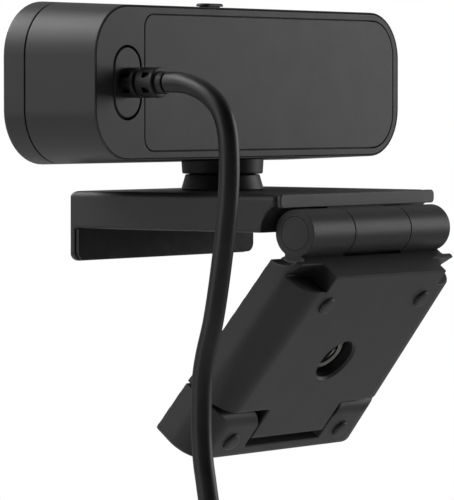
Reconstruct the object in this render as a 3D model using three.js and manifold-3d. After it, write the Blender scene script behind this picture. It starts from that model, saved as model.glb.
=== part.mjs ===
// A USB webcam with a folding monitor clip: a wide camera head on a short pan and tilt neck, a clip
// plate with a front lip, and a thick arm that folds flat under the plate and has a fold-out toe.
// Millimetres, +Z up, the lens faces -Y. The origin is on the seat pad's underside, where the clip
// rests on a monitor's top edge, straight below the pan axis.
import * as THREE from 'three';
import { mergeVertices } from 'three/addons/utils/BufferGeometryUtils.js';
import Module from 'manifold-3d';

const wasm = await Module();
wasm.setup();

// ---- driving dimensions ----

const GAP = 0.3; // clearance between pieces that touch or are cut by each other
const WALL = 1.8; // moulded walls

// camera head
const HEAD_WIDTH = 102.8; // at the back
const HEAD_TALL = 31.0; // at the back
const HEAD_BACK = 8.55; // y of the back face
const HEAD_DEPTH = 23.75;
const HEAD_BOTTOM = 14.25; // z at the back
const HEAD_CORNER = 10.1;
const HEAD_DRAFT = 1.03; // how much further out the outline stands at the front
const BEZEL_DEPTH = 6.0;
const RIM = 0.45; // thin rim of the main shell around the rear cover
const COVER_THICK = 1.9;
const PANEL_THICK = 0.8;
const PANEL_LEFT = 36.15; // x of the rear panel's edges
const PANEL_RIGHT = -49.5;
const PANEL_MARGIN = 1.7; // above and below the rear panel
const PANEL_SMALL_CORNER = 2.8;
const PANEL_LARGE_CORNER = 7.8;
const GLASS_THICK = 1.2;
const GLASS_PROUD = 0.3;
const FRONT_WALL = 1.2; // bezel wall behind the glass
const WINDOW_R = 7.8; // window behind the glass, which holds the lens ring

// cable exit
const CORD_X = 41.4;
const CORD_D = 4.1;
const CABLE_PLATE_WIDE = 8.1;
const CABLE_PLATE_TALL = 14.2;
const RELIEF_R = 3.05;
const RELIEF_LONG = 10.0;

// lens
const LENS_R = 3.6;
const BOARD_THICK = 1.2;

// privacy shutter
const SHUTTER_TRAVEL = 9.5;
const SHUTTER_Y = -3.4;
const KNOB_LONG = 7.0;
const KNOB_WIDE = 3.3;
const KNOB_THICK = 0.6;
const BLADE_THICK = 0.6;

// neck
const DRUM_R = 8.6;
const DRUM_BOTTOM = 11.0;
const DRUM_WALL = 0.7;
const CONE_TOP_R = 7.8;
const CONE_TOP = 10.3;
const HUB_R = 5.6;
const POST_R = 3.3;
const TILT_PIN_R = 1.2;
const TILT_KNUCKLE_R = 2.6;
const TANG_HALF = 2.2;

// clip plate
const PLATE_TOP = 7.68;
const PLATE_FRONT = -17.0;
const PLATE_BACK = 35.4;
const PLATE_FRONT_HALF = 29.7;
const PLATE_BACK_HALF = 26.6;
const REAR_CAP_THICK = 0.8;
const REAR_CAP_BOTTOM = 4.95;
const LIP_BOTTOM = -6.75;
const LIP_THICK = 1.6;
const LIP_PAD_THICK = 0.7;
const LIP_CORNER = 2.2;
const BASE_THICK = 1.2;
const SEAT_PAD_THICK = 0.7;

// clip hinge
const HINGE_Y = 36.7;
const HINGE_Z = -0.07;
const BARREL_R = 4.78;
const BARREL_HALF = 23.65;
const CENTRE_HALF = 9.55; // half length of the centre knuckle
const HINGE_PIN_R = 1.5;
const END_CAP_R = 3.4;
const END_CAP_THICK = 1.2;
const RECESS_R = 5.2; // clearance round the barrel
const SIDE_RECESS_R = 6.1; // the wider clearance in the plate and in the arm's side walls

// arm, measured along it from the hinge axis, and outwards from the axis to its outer face
const ARM_OPEN = THREE.MathUtils.degToRad(51.7); // rest angle from folded
const ARM_OUTER = 10.94;
const ARM_INNER = 0.4;
const ARM_HALF = 26.63; // half width at the hinge axis
const ARM_FLARE = 0.0537; // growth of the half width along the arm
const ARM_FILLET = 6.5;
const ARM_END = 37.9;
const ARM_SHELF = -4.65; // level of the arm's top below the hinge axis, at rest
const ARM_TOP = 2.51; // where the arm's squared end begins, along the arm
const POCKET_START = 9; // pocket in the arm's inner side
const POCKET_END = 36;
const ARM_COVER_THICK = 1.5;
const ARM_PAD_HALF = 14;
const ARM_PAD_THICK = 0.6;
const NOTCH_X = 19.2;
const NOTCH_END = 6.4;
const NOTCH_FLOOR = 5.0; // depth of the notch's floor at its lower wall
const NOTCH_SLOPE = 0.463; // how fast that floor rises outwards, towards the hinge
const TONGUE_HALF = 12.3;
const TONGUE_END = 45.8;
const FOOT_R = 1.75;
const FOOT_PROUD = 0.45;
const ARM_FOOT_X = 16.4;
const ARM_FOOT_AT = 9.9;
const TRIPOD_AT = 25.6;
const TRIPOD_BORE_R = 4.8;
const INSERT_BORE_R = 2.75; // crest radius of the quarter-inch thread
const THREAD_PITCH = 1.27;
const BORE_CHAMFER = 0.5;
const INSERT_SUNK = 2.2;

// toe
const TOE_END = 50.7;
const TOE_SLOT_END = 47.9;
const TOE_PIN_AT = 42.0;
const TOE_PIN_OUT = 7.44;
const TOE_KNUCKLE_R = 3.5;
const TOE_PIN_R = 1.1;
const TOE_FOOT_X = 18.6;
const TOE_FOOT_AT = 45.9;

// stored coil of the cord: three layers of three turns
const COIL_PITCH = 4.25;
const COIL_MEAN_R = 23.5;
const COIL_TOP = -76.5; // top of the outer layer's centreline
const COIL_Y = 13.6;
const TIE_WIDE = 9;
const TIE_THICK = 1.0;
const TAIL_DROP = 30; // tail from the coil's centre height down to the plug

// USB plug
const PLUG_NUB = 8;
const PLUG_LONG = 20;
const PLUG_WIDE = 15;
const PLUG_THICK = 7.6;
const SHELL_LONG = 12;
const SHELL_WIDE = 12;
const SHELL_THICK = 4.5;
const SHELL_WALL = 0.45;

// ---- derived sizes ----

const HEAD_FRONT = HEAD_BACK - HEAD_DEPTH;
const HEAD_MID = HEAD_BOTTOM + HEAD_TALL / 2;
const BEZEL_BACK = HEAD_FRONT + BEZEL_DEPTH;
const RECESS_FLOOR = HEAD_FRONT + GLASS_THICK - GLASS_PROUD + GAP; // glass recess in the bezel
const WALL_BACK = RECESS_FLOOR + FRONT_WALL;
const BLADE_FRONT = WALL_BACK + GAP;
const LENS_FRONT = BLADE_FRONT + BLADE_THICK + GAP;
const LENS_LONG = 5.6;
const SENSOR_BOARD_Y = LENS_FRONT + 8.4;
const MAIN_BOARD_Y = 2.0;
const COVER_FRONT = HEAD_BACK - COVER_THICK;
const PANEL_FLOOR = HEAD_BACK - PANEL_THICK - GAP;
const TILT_Z = PLATE_TOP; // the tilt pin's height
const TOP_WALL_UNDER = PLATE_TOP - 1.6;
const CLIP_FLOOR = SEAT_PAD_THICK + GAP; // underside of the base cover
const LIP_BACK = PLATE_FRONT + LIP_THICK;
const BRACKET_SCREW_X = 5;
const BRACKET_SCREW_Y = 20;
const BRACKET_TOP = TOP_WALL_UNDER - 0.2 - GAP;
const BRACKET_BOTTOM = CLIP_FLOOR + BASE_THICK + GAP;

// inside the head
const COVER_SCREWS = [[-38, HEAD_BOTTOM + 5.2], [30, HEAD_BOTTOM + 5.2]];
const COVER_SCREW_R = 0.9;
const COVER_SCREW_HEAD_R = 1.8;
const COVER_SCREW_LONG = 6;
const BOARD_BOSS_X = 33;
const BOSS_HALF = 3;
const NECK_SCREW_X = 5.2;
const NECK_SCREW_R = 0.8;
const FLANGE_R = 7.4;
const FLANGE_HALF = 4.6; // the flange is cut flat in front and behind
const FLANGE_BOTTOM = HEAD_BOTTOM + WALL + GAP;
const FLANGE_THICK = 1.4;
const MIC_X = 24;
const MIC_R = 2;
const LED_X = 17.5;
const LED_R = 0.9;
const SENSOR_POST_X = 6;
const SENSOR_POST_Z = HEAD_MID - 8.5;
const SENSOR_POST_R = 1.5;

// The cord leaves the strain relief, arcs back and down and hangs past the clip to the coil's top.
const CORD_ROUTE = [
  [HEAD_BACK + RELIEF_LONG + GAP, 29.8], [23.1, 29.6], [28.1, 27.9], [31.8, 24.7], [33.6, 20.4],
  [34.1, 14.6], [33.9, 7.8], [33.3, 2.0], [32.5, -3.7], [31.3, -11.0], [30.0, -17.4], [28.4, -23.0],
  [27.5, -27.5], [27.2, -32.5], [27.2, -38.5], [27.6, -44.1], [28.5, -49.5], [29.4, -55.5],
  [29.0, -62.5], [26.8, -68.6], [21.3, -73.8],
].map(([y, z]) => new THREE.Vector3(CORD_X, y, z));
const COIL_OUTER_R = COIL_MEAN_R + COIL_PITCH; // centreline of the outer layer
const COIL_Z = COIL_TOP - COIL_OUTER_R;
const COIL_X = CORD_X - COIL_PITCH; // middle of the three columns
const COIL_HALF = COIL_PITCH + CORD_D / 2;
const TAIL_X = COIL_X - COIL_HALF - GAP - CORD_D / 2;
const TAIL_Y = COIL_Y - COIL_MEAN_R + COIL_PITCH;
const PLUG_TOP = COIL_Z - TAIL_DROP - GAP;

const SIDES = 28; // sides of the larger round pieces
const SMALL_SIDES = 12;
const ARC_STEPS = 5; // steps in each rounded corner

const rgb = (r, g, b) => new THREE.Color(r / 255, g / 255, b / 255);
const finish = (color, roughness, metalness = 0) =>
  new THREE.MeshStandardMaterial({ color, roughness, metalness });
const shellGrey = finish(rgb(62, 62, 64), 0.55);
const panelGrey = finish(rgb(72, 72, 74), 0.6);
const blackPlastic = finish(rgb(22, 22, 24), 0.5);
const rubber = finish(rgb(34, 34, 36), 0.85);
const steel = finish(rgb(170, 170, 172), 0.35, 1);
const brass = finish(rgb(190, 180, 160), 0.3, 1);
const boardGreen = finish(rgb(20, 70, 45), 0.6);
const darkGlass = finish(rgb(12, 12, 16), 0.1);
const cordBlack = finish(rgb(26, 26, 28), 0.5);
const lightPipe = finish(rgb(225, 225, 225), 0.3);

// ---- solids ----

function solid(geometry) {
  const bare = geometry.clone();
  bare.deleteAttribute('normal');
  bare.deleteAttribute('uv');
  const merged = mergeVertices(bare, 1e-4);
  return new wasm.Manifold(new wasm.Mesh({
    numProp: 3,
    vertProperties: new Float32Array(merged.attributes.position.array),
    triVerts: new Uint32Array(merged.index.array),
  }));
}

function geometryOf(body) {
  const mesh = body.getMesh();
  const geometry = new THREE.BufferGeometry();
  const positions = new Float32Array(mesh.vertProperties);
  geometry.setAttribute('position', new THREE.BufferAttribute(positions, 3));
  geometry.setIndex(new THREE.BufferAttribute(new Uint32Array(mesh.triVerts), 1));
  geometry.computeVertexNormals();
  return geometry;
}

const join = (...bodies) => bodies.reduce((all, body) => all.add(body));
const cut = (body, ...tools) => tools.reduce((rest, tool) => rest.subtract(tool), body);

function block(x0, x1, y0, y1, z0, z1) {
  const geometry = new THREE.BoxGeometry(x1 - x0, y1 - y0, z1 - z0);
  return solid(geometry.translate((x0 + x1) / 2, (y0 + y1) / 2, (z0 + z1) / 2));
}

// A round bar along x, y or z, from one end to the other; u and v place its axis.
function bar(axis, radius, from, to, u = 0, v = 0, sides = SMALL_SIDES, endRadius = radius) {
  const geometry = new THREE.CylinderGeometry(endRadius, radius, to - from, sides);
  geometry.translate(0, (from + to) / 2, 0);
  if (axis === 'x') geometry.rotateZ(-Math.PI / 2).translate(0, u, v);
  if (axis === 'y') geometry.translate(u, 0, v);
  if (axis === 'z') geometry.rotateX(Math.PI / 2).translate(u, v, 0);
  return solid(geometry);
}

// A body turned round the y axis at x, z, from a closed profile of [radius, y] points.
function turned(profile, x, z, sides = SMALL_SIDES) {
  const points = profile.map(([radius, y]) => new THREE.Vector2(radius, y));
  return solid(new THREE.LatheGeometry(points, sides).translate(x, 0, z));
}

// Joins convex outlines of equal length, each a list of Vector3, into one closed body.
function loft(rings) {
  const positions = [];
  const indices = [];
  const count = rings[0].length;
  for (const ring of rings) {
    for (const point of ring) positions.push(point.x, point.y, point.z);
  }
  for (let r = 0; r + 1 < rings.length; r++) {
    for (let i = 0; i < count; i++) {
      const a = r * count + i;
      const b = r * count + ((i + 1) % count);
      indices.push(a, b, b + count, a, b + count, a + count);
    }
  }
  const last = (rings.length - 1) * count;
  for (let i = 1; i + 1 < count; i++) {
    indices.push(0, i + 1, i, last, last + i, last + i + 1);
  }
  const geometry = new THREE.BufferGeometry();
  geometry.setAttribute('position', new THREE.BufferAttribute(new Float32Array(positions), 3));
  geometry.setIndex(indices);
  const body = solid(geometry);
  if (body.volume() > 0) return body;
  geometry.setIndex(indices.reverse());
  return solid(geometry);
}

// A rounded rectangle as [u, v] points, counterclockwise; the two u sides can have their own corners.
function roundedRect(u0, u1, v0, v1, corner, cornerLow = corner) {
  const points = [];
  const arc = (cu, cv, radius, start) => {
    for (let i = 0; i <= ARC_STEPS; i++) {
      const angle = start + (i / ARC_STEPS) * (Math.PI / 2);
      points.push([cu + radius * Math.cos(angle), cv + radius * Math.sin(angle)]);
    }
  };
  arc(u1 - corner, v1 - corner, corner, 0);
  arc(u0 + cornerLow, v1 - cornerLow, cornerLow, Math.PI / 2);
  arc(u0 + cornerLow, v0 + cornerLow, cornerLow, Math.PI);
  arc(u1 - corner, v0 + corner, corner, 1.5 * Math.PI);
  return points;
}

const acrossY = (points, y) => points.map(([x, z]) => new THREE.Vector3(x, y, z)).reverse();
const acrossZ = (points, z) => points.map(([x, y]) => new THREE.Vector3(x, y, z));

function prismY(points, y0, y1) {
  return loft([acrossY(points, y0), acrossY(points, y1)]);
}

function stadium(x, z, wide, tall, y0, y1) {
  const round = Math.min(wide, tall) / 2 - 0.001;
  return prismY(roundedRect(x - wide / 2, x + wide / 2, z - tall / 2, z + tall / 2, round), y0, y1);
}

const root = new THREE.Group();
function piece(group, name, body, material) {
  const mesh = new THREE.Mesh(body.isBufferGeometry ? body : geometryOf(body), material);
  mesh.name = name;
  group.add(mesh);
}

// ---- camera head ----

// The head's outline at depth y, moved in by inset.
function headOutline(y, inset = 0) {
  const grow = HEAD_DRAFT * (HEAD_BACK - y) / HEAD_DEPTH - inset;
  const half = HEAD_WIDTH / 2 + grow;
  const halfTall = HEAD_TALL / 2 + grow;
  const corner = Math.max(HEAD_CORNER + grow, 1);
  return roundedRect(-half, half, HEAD_MID - halfTall, HEAD_MID + halfTall, corner);
}
const headBlock = (y0, y1, inset) => loft([
  acrossY(headOutline(y0, inset), y0),
  acrossY(headOutline(y1, inset), y1),
]);
const headTopAt = (y) => HEAD_BOTTOM + HEAD_TALL + HEAD_DRAFT * (HEAD_BACK - y) / HEAD_DEPTH;

function frontBezel() {
  const edge = [[HEAD_FRONT, 0.9], [HEAD_FRONT + 0.3, 0.35], [HEAD_FRONT + 0.9, 0]];
  const stations = [...edge, [BEZEL_BACK - GAP / 2, 0]];
  const rings = stations.map(([y, inset]) => acrossY(headOutline(y, inset), y));
  const posts = [-1, 1].map((side) => bar('y', SENSOR_POST_R, WALL_BACK - 0.5, SENSOR_BOARD_Y - GAP,
    side * SENSOR_POST_X, SENSOR_POST_Z));
  const micHoles = [-1, 1].map((side) => bar('y', 0.5, HEAD_FRONT - 1, WALL_BACK + 1, side * MIC_X, HEAD_MID));
  const hollow = cut(loft(rings),
    headBlock(HEAD_FRONT - 1, RECESS_FLOOR, 2.4),
    headBlock(WALL_BACK, BEZEL_BACK + 1, WALL),
    bar('y', WINDOW_R, HEAD_FRONT - 2, WALL_BACK + 1, 0, HEAD_MID, SIDES),
    bar('y', LED_R + GAP, HEAD_FRONT - 2, WALL_BACK + 1, LED_X, HEAD_MID),
    ...micHoles);
  return join(hollow, ...posts);
}

function mainShell() {
  const front = BEZEL_BACK + GAP / 2;
  let body = headBlock(front, HEAD_BACK, 0);
  body = cut(body,
    headBlock(front - 1, HEAD_BACK + 1, WALL),
    headBlock(COVER_FRONT - GAP, HEAD_BACK + 1, RIM));
  const inside = headBlock(front, COVER_FRONT - GAP, WALL / 2);
  for (const [x, z] of COVER_SCREWS) {
    const boss = block(x - BOSS_HALF, x + BOSS_HALF, 0, COVER_FRONT - GAP, HEAD_BOTTOM, z + BOSS_HALF);
    body = join(body, boss.intersect(inside));
    body = cut(body, bar('y', COVER_SCREW_R + GAP, HEAD_BACK - COVER_SCREW_LONG - 1, HEAD_BACK, x, z));
  }
  for (const x of [-BOARD_BOSS_X, BOARD_BOSS_X]) {
    const boss = block(x - BOSS_HALF, x + BOSS_HALF, -1, MAIN_BOARD_Y - GAP, HEAD_MID + 8, HEAD_MID + 20);
    body = join(body, boss.intersect(inside));
  }
  const slotHalf = KNOB_WIDE / 2 - 0.5 + GAP;
  const slot = block(-SHUTTER_TRAVEL - 2 - GAP, 2 + GAP, SHUTTER_Y - slotHalf, SHUTTER_Y + slotHalf,
    HEAD_MID + 5, HEAD_MID + 30);
  const screwHoles = [-1, 1].map((side) => bar('z', NECK_SCREW_R + GAP, 5, 20, side * NECK_SCREW_X, 0));
  return cut(body, slot, bar('z', POST_R + GAP, 5, 20, 0, 0, SIDES), ...screwHoles);
}

function rearPanelOutline(inset) {
  return roundedRect(PANEL_RIGHT + inset, PANEL_LEFT - inset, HEAD_BOTTOM + PANEL_MARGIN + inset,
    HEAD_BOTTOM + HEAD_TALL - PANEL_MARGIN - inset, PANEL_SMALL_CORNER - inset, PANEL_LARGE_CORNER - inset);
}

function rearCover() {
  const holes = COVER_SCREWS.map(([x, z]) => join(
    bar('y', COVER_SCREW_R + GAP, COVER_FRONT - 1, HEAD_BACK, x, z),
    bar('y', COVER_SCREW_HEAD_R + GAP, PANEL_FLOOR - 0.5, HEAD_BACK, x, z)));
  return cut(headBlock(COVER_FRONT, HEAD_BACK, RIM + GAP),
    prismY(rearPanelOutline(0), PANEL_FLOOR, HEAD_BACK + 1),
    stadium(CORD_X, HEAD_MID, CABLE_PLATE_WIDE + 2 * GAP, CABLE_PLATE_TALL + 2 * GAP,
      COVER_FRONT - 1, HEAD_BACK + 1),
    ...holes);
}

function coverScrew(x, z) {
  const headFront = PANEL_FLOOR - 0.5 + GAP;
  return join(bar('y', COVER_SCREW_HEAD_R, headFront, PANEL_FLOOR, x, z),
    bar('y', COVER_SCREW_R, HEAD_BACK - COVER_SCREW_LONG, headFront + 0.1, x, z));
}

// Two slotted rings and a plain collar on a thin core, with a stem through the cable plate.
function strainRelief() {
  const core = RELIEF_R - 0.8;
  const from = HEAD_BACK + GAP;
  const end = HEAD_BACK + RELIEF_LONG;
  const rings = [[from, 10.6], [11.3, 14.4], [15.0, end - 1.6]];
  let body = bar('y', core, HEAD_BACK - COVER_THICK - 1.5, end, CORD_X, HEAD_MID, SMALL_SIDES);
  for (const [y0, y1] of rings) body = join(body, bar('y', RELIEF_R, y0, y1, CORD_X, HEAD_MID, 20));
  for (const [y0, y1] of rings.slice(0, 2)) {
    const middle = (y0 + y1) / 2;
    const slotHalf = (y1 - y0) / 2 - 0.35;
    for (let i = 0; i < 3; i++) {
      const slot = new THREE.BoxGeometry(2.2 * RELIEF_R, 2 * slotHalf, 1.2);
      slot.rotateY((i + 0.5) * Math.PI / 3).translate(CORD_X, middle, HEAD_MID);
      body = cut(body, cut(solid(slot), bar('y', core, y0 - 1, y1 + 1, CORD_X, HEAD_MID, SMALL_SIDES)));
    }
  }
  return body;
}

function lensBarrel() {
  const y0 = LENS_FRONT;
  const y1 = LENS_FRONT + LENS_LONG;
  return turned([[LENS_R - 1.1, y0], [LENS_R, y0], [LENS_R, y1], [LENS_R - 0.7, y1], [LENS_R - 0.7, y0 + 1.2],
    [LENS_R - 1.1, y0 + 0.8], [LENS_R - 1.1, y0]], 0, HEAD_MID, 20);
}

function lensHolder() {
  const back = SENSOR_BOARD_Y - GAP;
  const front = LENS_FRONT + 2;
  return cut(block(-6, 6, front, back, HEAD_MID - 6, HEAD_MID + 6),
    bar('y', LENS_R + GAP, front - 1, LENS_FRONT + LENS_LONG + GAP, 0, HEAD_MID, 20),
    block(-4, 4, LENS_FRONT + LENS_LONG - 0.5, back + 1, HEAD_MID - 3.5, HEAD_MID + 3.5));
}

function shutterBlade() {
  const right = SHUTTER_TRAVEL - LENS_R - 1.2;
  const left = SHUTTER_TRAVEL + LENS_R + 1.2;
  const top = headTopAt(SHUTTER_Y) - WALL - 0.6;
  return join(
    block(right, left, BLADE_FRONT, BLADE_FRONT + BLADE_THICK, HEAD_MID - 6.5, top),
    block(-2.5, left, BLADE_FRONT, SHUTTER_Y + 1.6, top - BLADE_THICK, top));
}

function shutterKnob() {
  const bottom = headTopAt(SHUTTER_Y - KNOB_WIDE) + GAP;
  const outline = (inset) => roundedRect(-KNOB_LONG / 2 + inset, KNOB_LONG / 2 - inset,
    SHUTTER_Y - KNOB_WIDE / 2 + inset, SHUTTER_Y + KNOB_WIDE / 2 - inset, KNOB_WIDE / 2 - inset - 0.01);
  const cap = loft([acrossZ(outline(0), bottom), acrossZ(outline(0), bottom + KNOB_THICK * 0.4),
    acrossZ(outline(0.45), bottom + KNOB_THICK)]);
  const stemHalf = KNOB_WIDE / 2 - 0.5;
  const stemBottom = headTopAt(SHUTTER_Y) - WALL - 0.6 + GAP;
  return join(cap, block(-2, 2, SHUTTER_Y - stemHalf, SHUTTER_Y + stemHalf, stemBottom, bottom + 0.1));
}

const head = new THREE.Group();
root.add(head);
piece(head, 'front_bezel', frontBezel(), shellGrey);
piece(head, 'front_glass', headBlock(HEAD_FRONT - GLASS_PROUD, HEAD_FRONT - GLASS_PROUD + GLASS_THICK, 2.7),
  darkGlass);
piece(head, 'lens_ring', turned([[LENS_R + 1.2, RECESS_FLOOR + 0.1], [WINDOW_R - GAP, RECESS_FLOOR + 0.1],
  [WINDOW_R - GAP, WALL_BACK], [LENS_R + 2, WALL_BACK], [LENS_R + 1.2, RECESS_FLOOR + 0.1]],
0, HEAD_MID, SIDES), blackPlastic);
piece(head, 'lens_barrel', lensBarrel(), blackPlastic);
piece(head, 'lens_glass', turned([[0, LENS_FRONT + 1.4], [LENS_R - 1.3, LENS_FRONT + 2.1],
  [LENS_R - 1.0, LENS_FRONT + 2.2], [LENS_R - 1.0, LENS_FRONT + 3.2], [0, LENS_FRONT + 3.2]], 0, HEAD_MID, 20),
darkGlass);
piece(head, 'lens_holder', lensHolder(), blackPlastic);
piece(head, 'image_sensor', block(-3, 3, SENSOR_BOARD_Y - GAP - 0.8, SENSOR_BOARD_Y - GAP,
  HEAD_MID - 2.5, HEAD_MID + 2.5), darkGlass);
piece(head, 'sensor_board', block(-9, 9, SENSOR_BOARD_Y, SENSOR_BOARD_Y + 1, HEAD_MID - 10.5, HEAD_MID + 7.5),
  boardGreen);
piece(head, 'main_board', block(-BOARD_BOSS_X - 3, BOARD_BOSS_X + 3, MAIN_BOARD_Y, MAIN_BOARD_Y + BOARD_THICK,
  HEAD_MID - 6, HEAD_MID + 11.5), boardGreen);
piece(head, 'board_connector', block(26, 34, MAIN_BOARD_Y + BOARD_THICK + GAP, COVER_FRONT - 0.4,
  HEAD_MID - 3, HEAD_MID + 3), lightPipe);
for (const [name, side] of [['mic_left', 1], ['mic_right', -1]]) {
  piece(head, name, bar('y', MIC_R, WALL_BACK + GAP, WALL_BACK + GAP + 1.4, side * MIC_X, HEAD_MID), steel);
}
piece(head, 'status_led', bar('y', LED_R, RECESS_FLOOR, WALL_BACK + 1.6, LED_X, HEAD_MID), lightPipe);
piece(head, 'main_shell', mainShell(), shellGrey);
piece(head, 'rear_cover', rearCover(), panelGrey);
piece(head, 'rear_panel', prismY(rearPanelOutline(GAP), PANEL_FLOOR + GAP, HEAD_BACK), panelGrey);
COVER_SCREWS.forEach(([x, z], i) => piece(head, `cover_screw_${i + 1}`, coverScrew(x, z), steel));
piece(head, 'cable_plate', cut(stadium(CORD_X, HEAD_MID, CABLE_PLATE_WIDE, CABLE_PLATE_TALL,
  COVER_FRONT - 1, HEAD_BACK), bar('y', RELIEF_R - 0.8 + GAP, 0, 20, CORD_X, HEAD_MID)), shellGrey);
piece(head, 'strain_relief', strainRelief(), rubber);

const shutter = new THREE.Group();
root.add(shutter);
piece(shutter, 'shutter_knob', shutterKnob(), shellGrey);
piece(shutter, 'shutter_blade', shutterBlade(), blackPlastic);

// ---- neck ----

// A hollow cap under the head, closed at the top, that reaches down round the swivel cone.
function neckDrum() {
  const ceiling = DRUM_BOTTOM + 1.6;
  const shape = cut(bar('z', DRUM_R - 0.15, DRUM_BOTTOM, HEAD_BOTTOM + 1, 0, 0, SIDES, DRUM_R),
    bar('z', DRUM_R - DRUM_WALL, DRUM_BOTTOM - 1, ceiling, 0, 0, SIDES),
    headBlock(HEAD_FRONT, HEAD_BACK + 5, -GAP),
    bar('z', POST_R + GAP, 0, 20, 0, 0, SIDES),
    ...[-1, 1].map((side) => bar('z', NECK_SCREW_R + GAP, DRUM_BOTTOM - 1, 20, side * NECK_SCREW_X, 0)));
  return shape;
}

// A flange inside the head, a round post through its bottom, and a flat tang with the tilt knuckle.
function tiltPost() {
  const tang = join(block(-TANG_HALF, TANG_HALF, -2, 2, TILT_Z, DRUM_BOTTOM + 1.7),
    bar('x', TILT_KNUCKLE_R, -TANG_HALF, TANG_HALF, 0, TILT_Z, 16));
  const flange = bar('z', FLANGE_R, FLANGE_BOTTOM, FLANGE_BOTTOM + FLANGE_THICK, 0, 0, SIDES)
    .intersect(block(-FLANGE_R, FLANGE_R, -FLANGE_HALF, FLANGE_HALF, FLANGE_BOTTOM - 1, FLANGE_BOTTOM + 5));
  return cut(join(flange, bar('z', POST_R, DRUM_BOTTOM + 1.6, FLANGE_BOTTOM + 0.1, 0, 0, 20), tang),
  bar('x', TILT_PIN_R + 0.15, -10, 10, 0, TILT_Z),
  ...[-1, 1].map((side) => bar('z', NECK_SCREW_R + GAP, 5, 25, side * NECK_SCREW_X, 0)));
}

function neckScrew(side) {
  const seat = FLANGE_BOTTOM + FLANGE_THICK + GAP;
  return join(bar('z', 1.6, seat, seat + 0.9, side * NECK_SCREW_X, 0),
    bar('z', NECK_SCREW_R, DRUM_BOTTOM + 1.7, seat + 0.1, side * NECK_SCREW_X, 0));
}

// The swivel cone on the clip plate, its hub through the plate and the slot for the tilt tang.
function swivelCone() {
  const coneBottom = PLATE_TOP + GAP;
  const hubBottom = CLIP_FLOOR + BASE_THICK + GAP + 0.3;
  const slotBottom = TILT_Z - TILT_KNUCKLE_R - GAP;
  return cut(join(bar('z', DRUM_R, coneBottom, CONE_TOP, 0, 0, SIDES, CONE_TOP_R),
    bar('z', HUB_R, hubBottom, coneBottom + 0.1, 0, 0, SIDES)),
  block(-TANG_HALF - GAP, TANG_HALF + GAP, -3.3, 3.3, slotBottom, CONE_TOP + 1),
  bar('x', TILT_PIN_R + 0.15, -20, 20, 0, TILT_Z));
}

const ring = (inner, outer, z0, z1) => cut(bar('z', outer, z0, z1, 0, 0, SIDES),
  bar('z', inner, z0 - 1, z1 + 1, 0, 0, SIDES));

piece(head, 'neck_drum', neckDrum(), shellGrey);
piece(head, 'tilt_post', tiltPost(), steel);
piece(head, 'neck_screw_left', neckScrew(1), steel);
piece(head, 'neck_screw_right', neckScrew(-1), steel);

const neck = new THREE.Group();
root.add(neck);
piece(neck, 'swivel_cone', swivelCone(), shellGrey);
piece(neck, 'tilt_pin', bar('x', TILT_PIN_R, -HUB_R + 0.6, HUB_R - 0.6, 0, TILT_Z), steel);
piece(neck, 'swivel_washer', ring(HUB_R + GAP, HUB_R + 4, TOP_WALL_UNDER - GAP - 0.8, TOP_WALL_UNDER - GAP),
  steel);
piece(neck, 'swivel_retainer', ring(HUB_R + GAP, HUB_R + 2.4, CLIP_FLOOR + BASE_THICK + 2 * GAP,
  TOP_WALL_UNDER - 2 * GAP - 0.8), steel);

// ---- cord, its stored coil and the plug ----

function cordTube() {
  const section = new THREE.Shape();
  const sides = 10;
  for (let i = 0; i < sides; i++) {
    const angle = (i / sides) * 2 * Math.PI;
    const x = CORD_D / 2 * Math.cos(angle);
    const y = CORD_D / 2 * Math.sin(angle);
    if (i === 0) section.moveTo(x, y);
    else section.lineTo(x, y);
  }
  const path = new THREE.CatmullRomCurve3(CORD_ROUTE);
  return new THREE.ExtrudeGeometry(section, { steps: 26, bevelEnabled: false, extrudePath: path });
}

function coilRing() {
  const inner = COIL_MEAN_R - COIL_HALF;
  const outer = COIL_MEAN_R + COIL_HALF;
  const soft = CORD_D / 2;
  const profile = [[inner + soft, -COIL_HALF], [outer - soft, -COIL_HALF], [outer, -COIL_HALF + soft],
    [outer, COIL_HALF - soft], [outer - soft, COIL_HALF], [inner + soft, COIL_HALF],
    [inner, COIL_HALF - soft], [inner, -COIL_HALF + soft], [inner + soft, -COIL_HALF]];
  const points = profile.map(([radius, x]) => new THREE.Vector2(radius, x));
  return new THREE.LatheGeometry(points, 28).rotateZ(-Math.PI / 2).translate(COIL_X, COIL_Y, COIL_Z);
}

// A flat band round the coil's bundle, at its rear side; the bundle's bow inside it needs some room.
function coilTie() {
  const middle = COIL_Y + COIL_MEAN_R;
  const bow = (TIE_WIDE / 2) ** 2 / (2 * COIL_MEAN_R);
  const band = (extra, tall) => block(COIL_X - COIL_HALF - extra, COIL_X + COIL_HALF + extra,
    middle - COIL_HALF - bow - extra, middle + COIL_HALF + extra, COIL_Z - tall, COIL_Z + tall);
  return cut(band(GAP + TIE_THICK, TIE_WIDE / 2), band(GAP, TIE_WIDE));
}

function plugBody() {
  const nub = bar('z', 3.6, PLUG_TOP - PLUG_NUB - 0.1, PLUG_TOP, TAIL_X, TAIL_Y, 24, CORD_D / 2 + 0.7);
  const top = PLUG_TOP - PLUG_NUB;
  const outline = (inset) => roundedRect(TAIL_X - PLUG_THICK / 2 + inset, TAIL_X + PLUG_THICK / 2 - inset,
    TAIL_Y - PLUG_WIDE / 2 + inset, TAIL_Y + PLUG_WIDE / 2 - inset, 1.4);
  return join(nub, loft([acrossZ(outline(0.5), top - PLUG_LONG), acrossZ(outline(0), top - PLUG_LONG + 0.6),
    acrossZ(outline(0), top - 1.2), acrossZ(outline(1.2), top)]));
}

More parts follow.
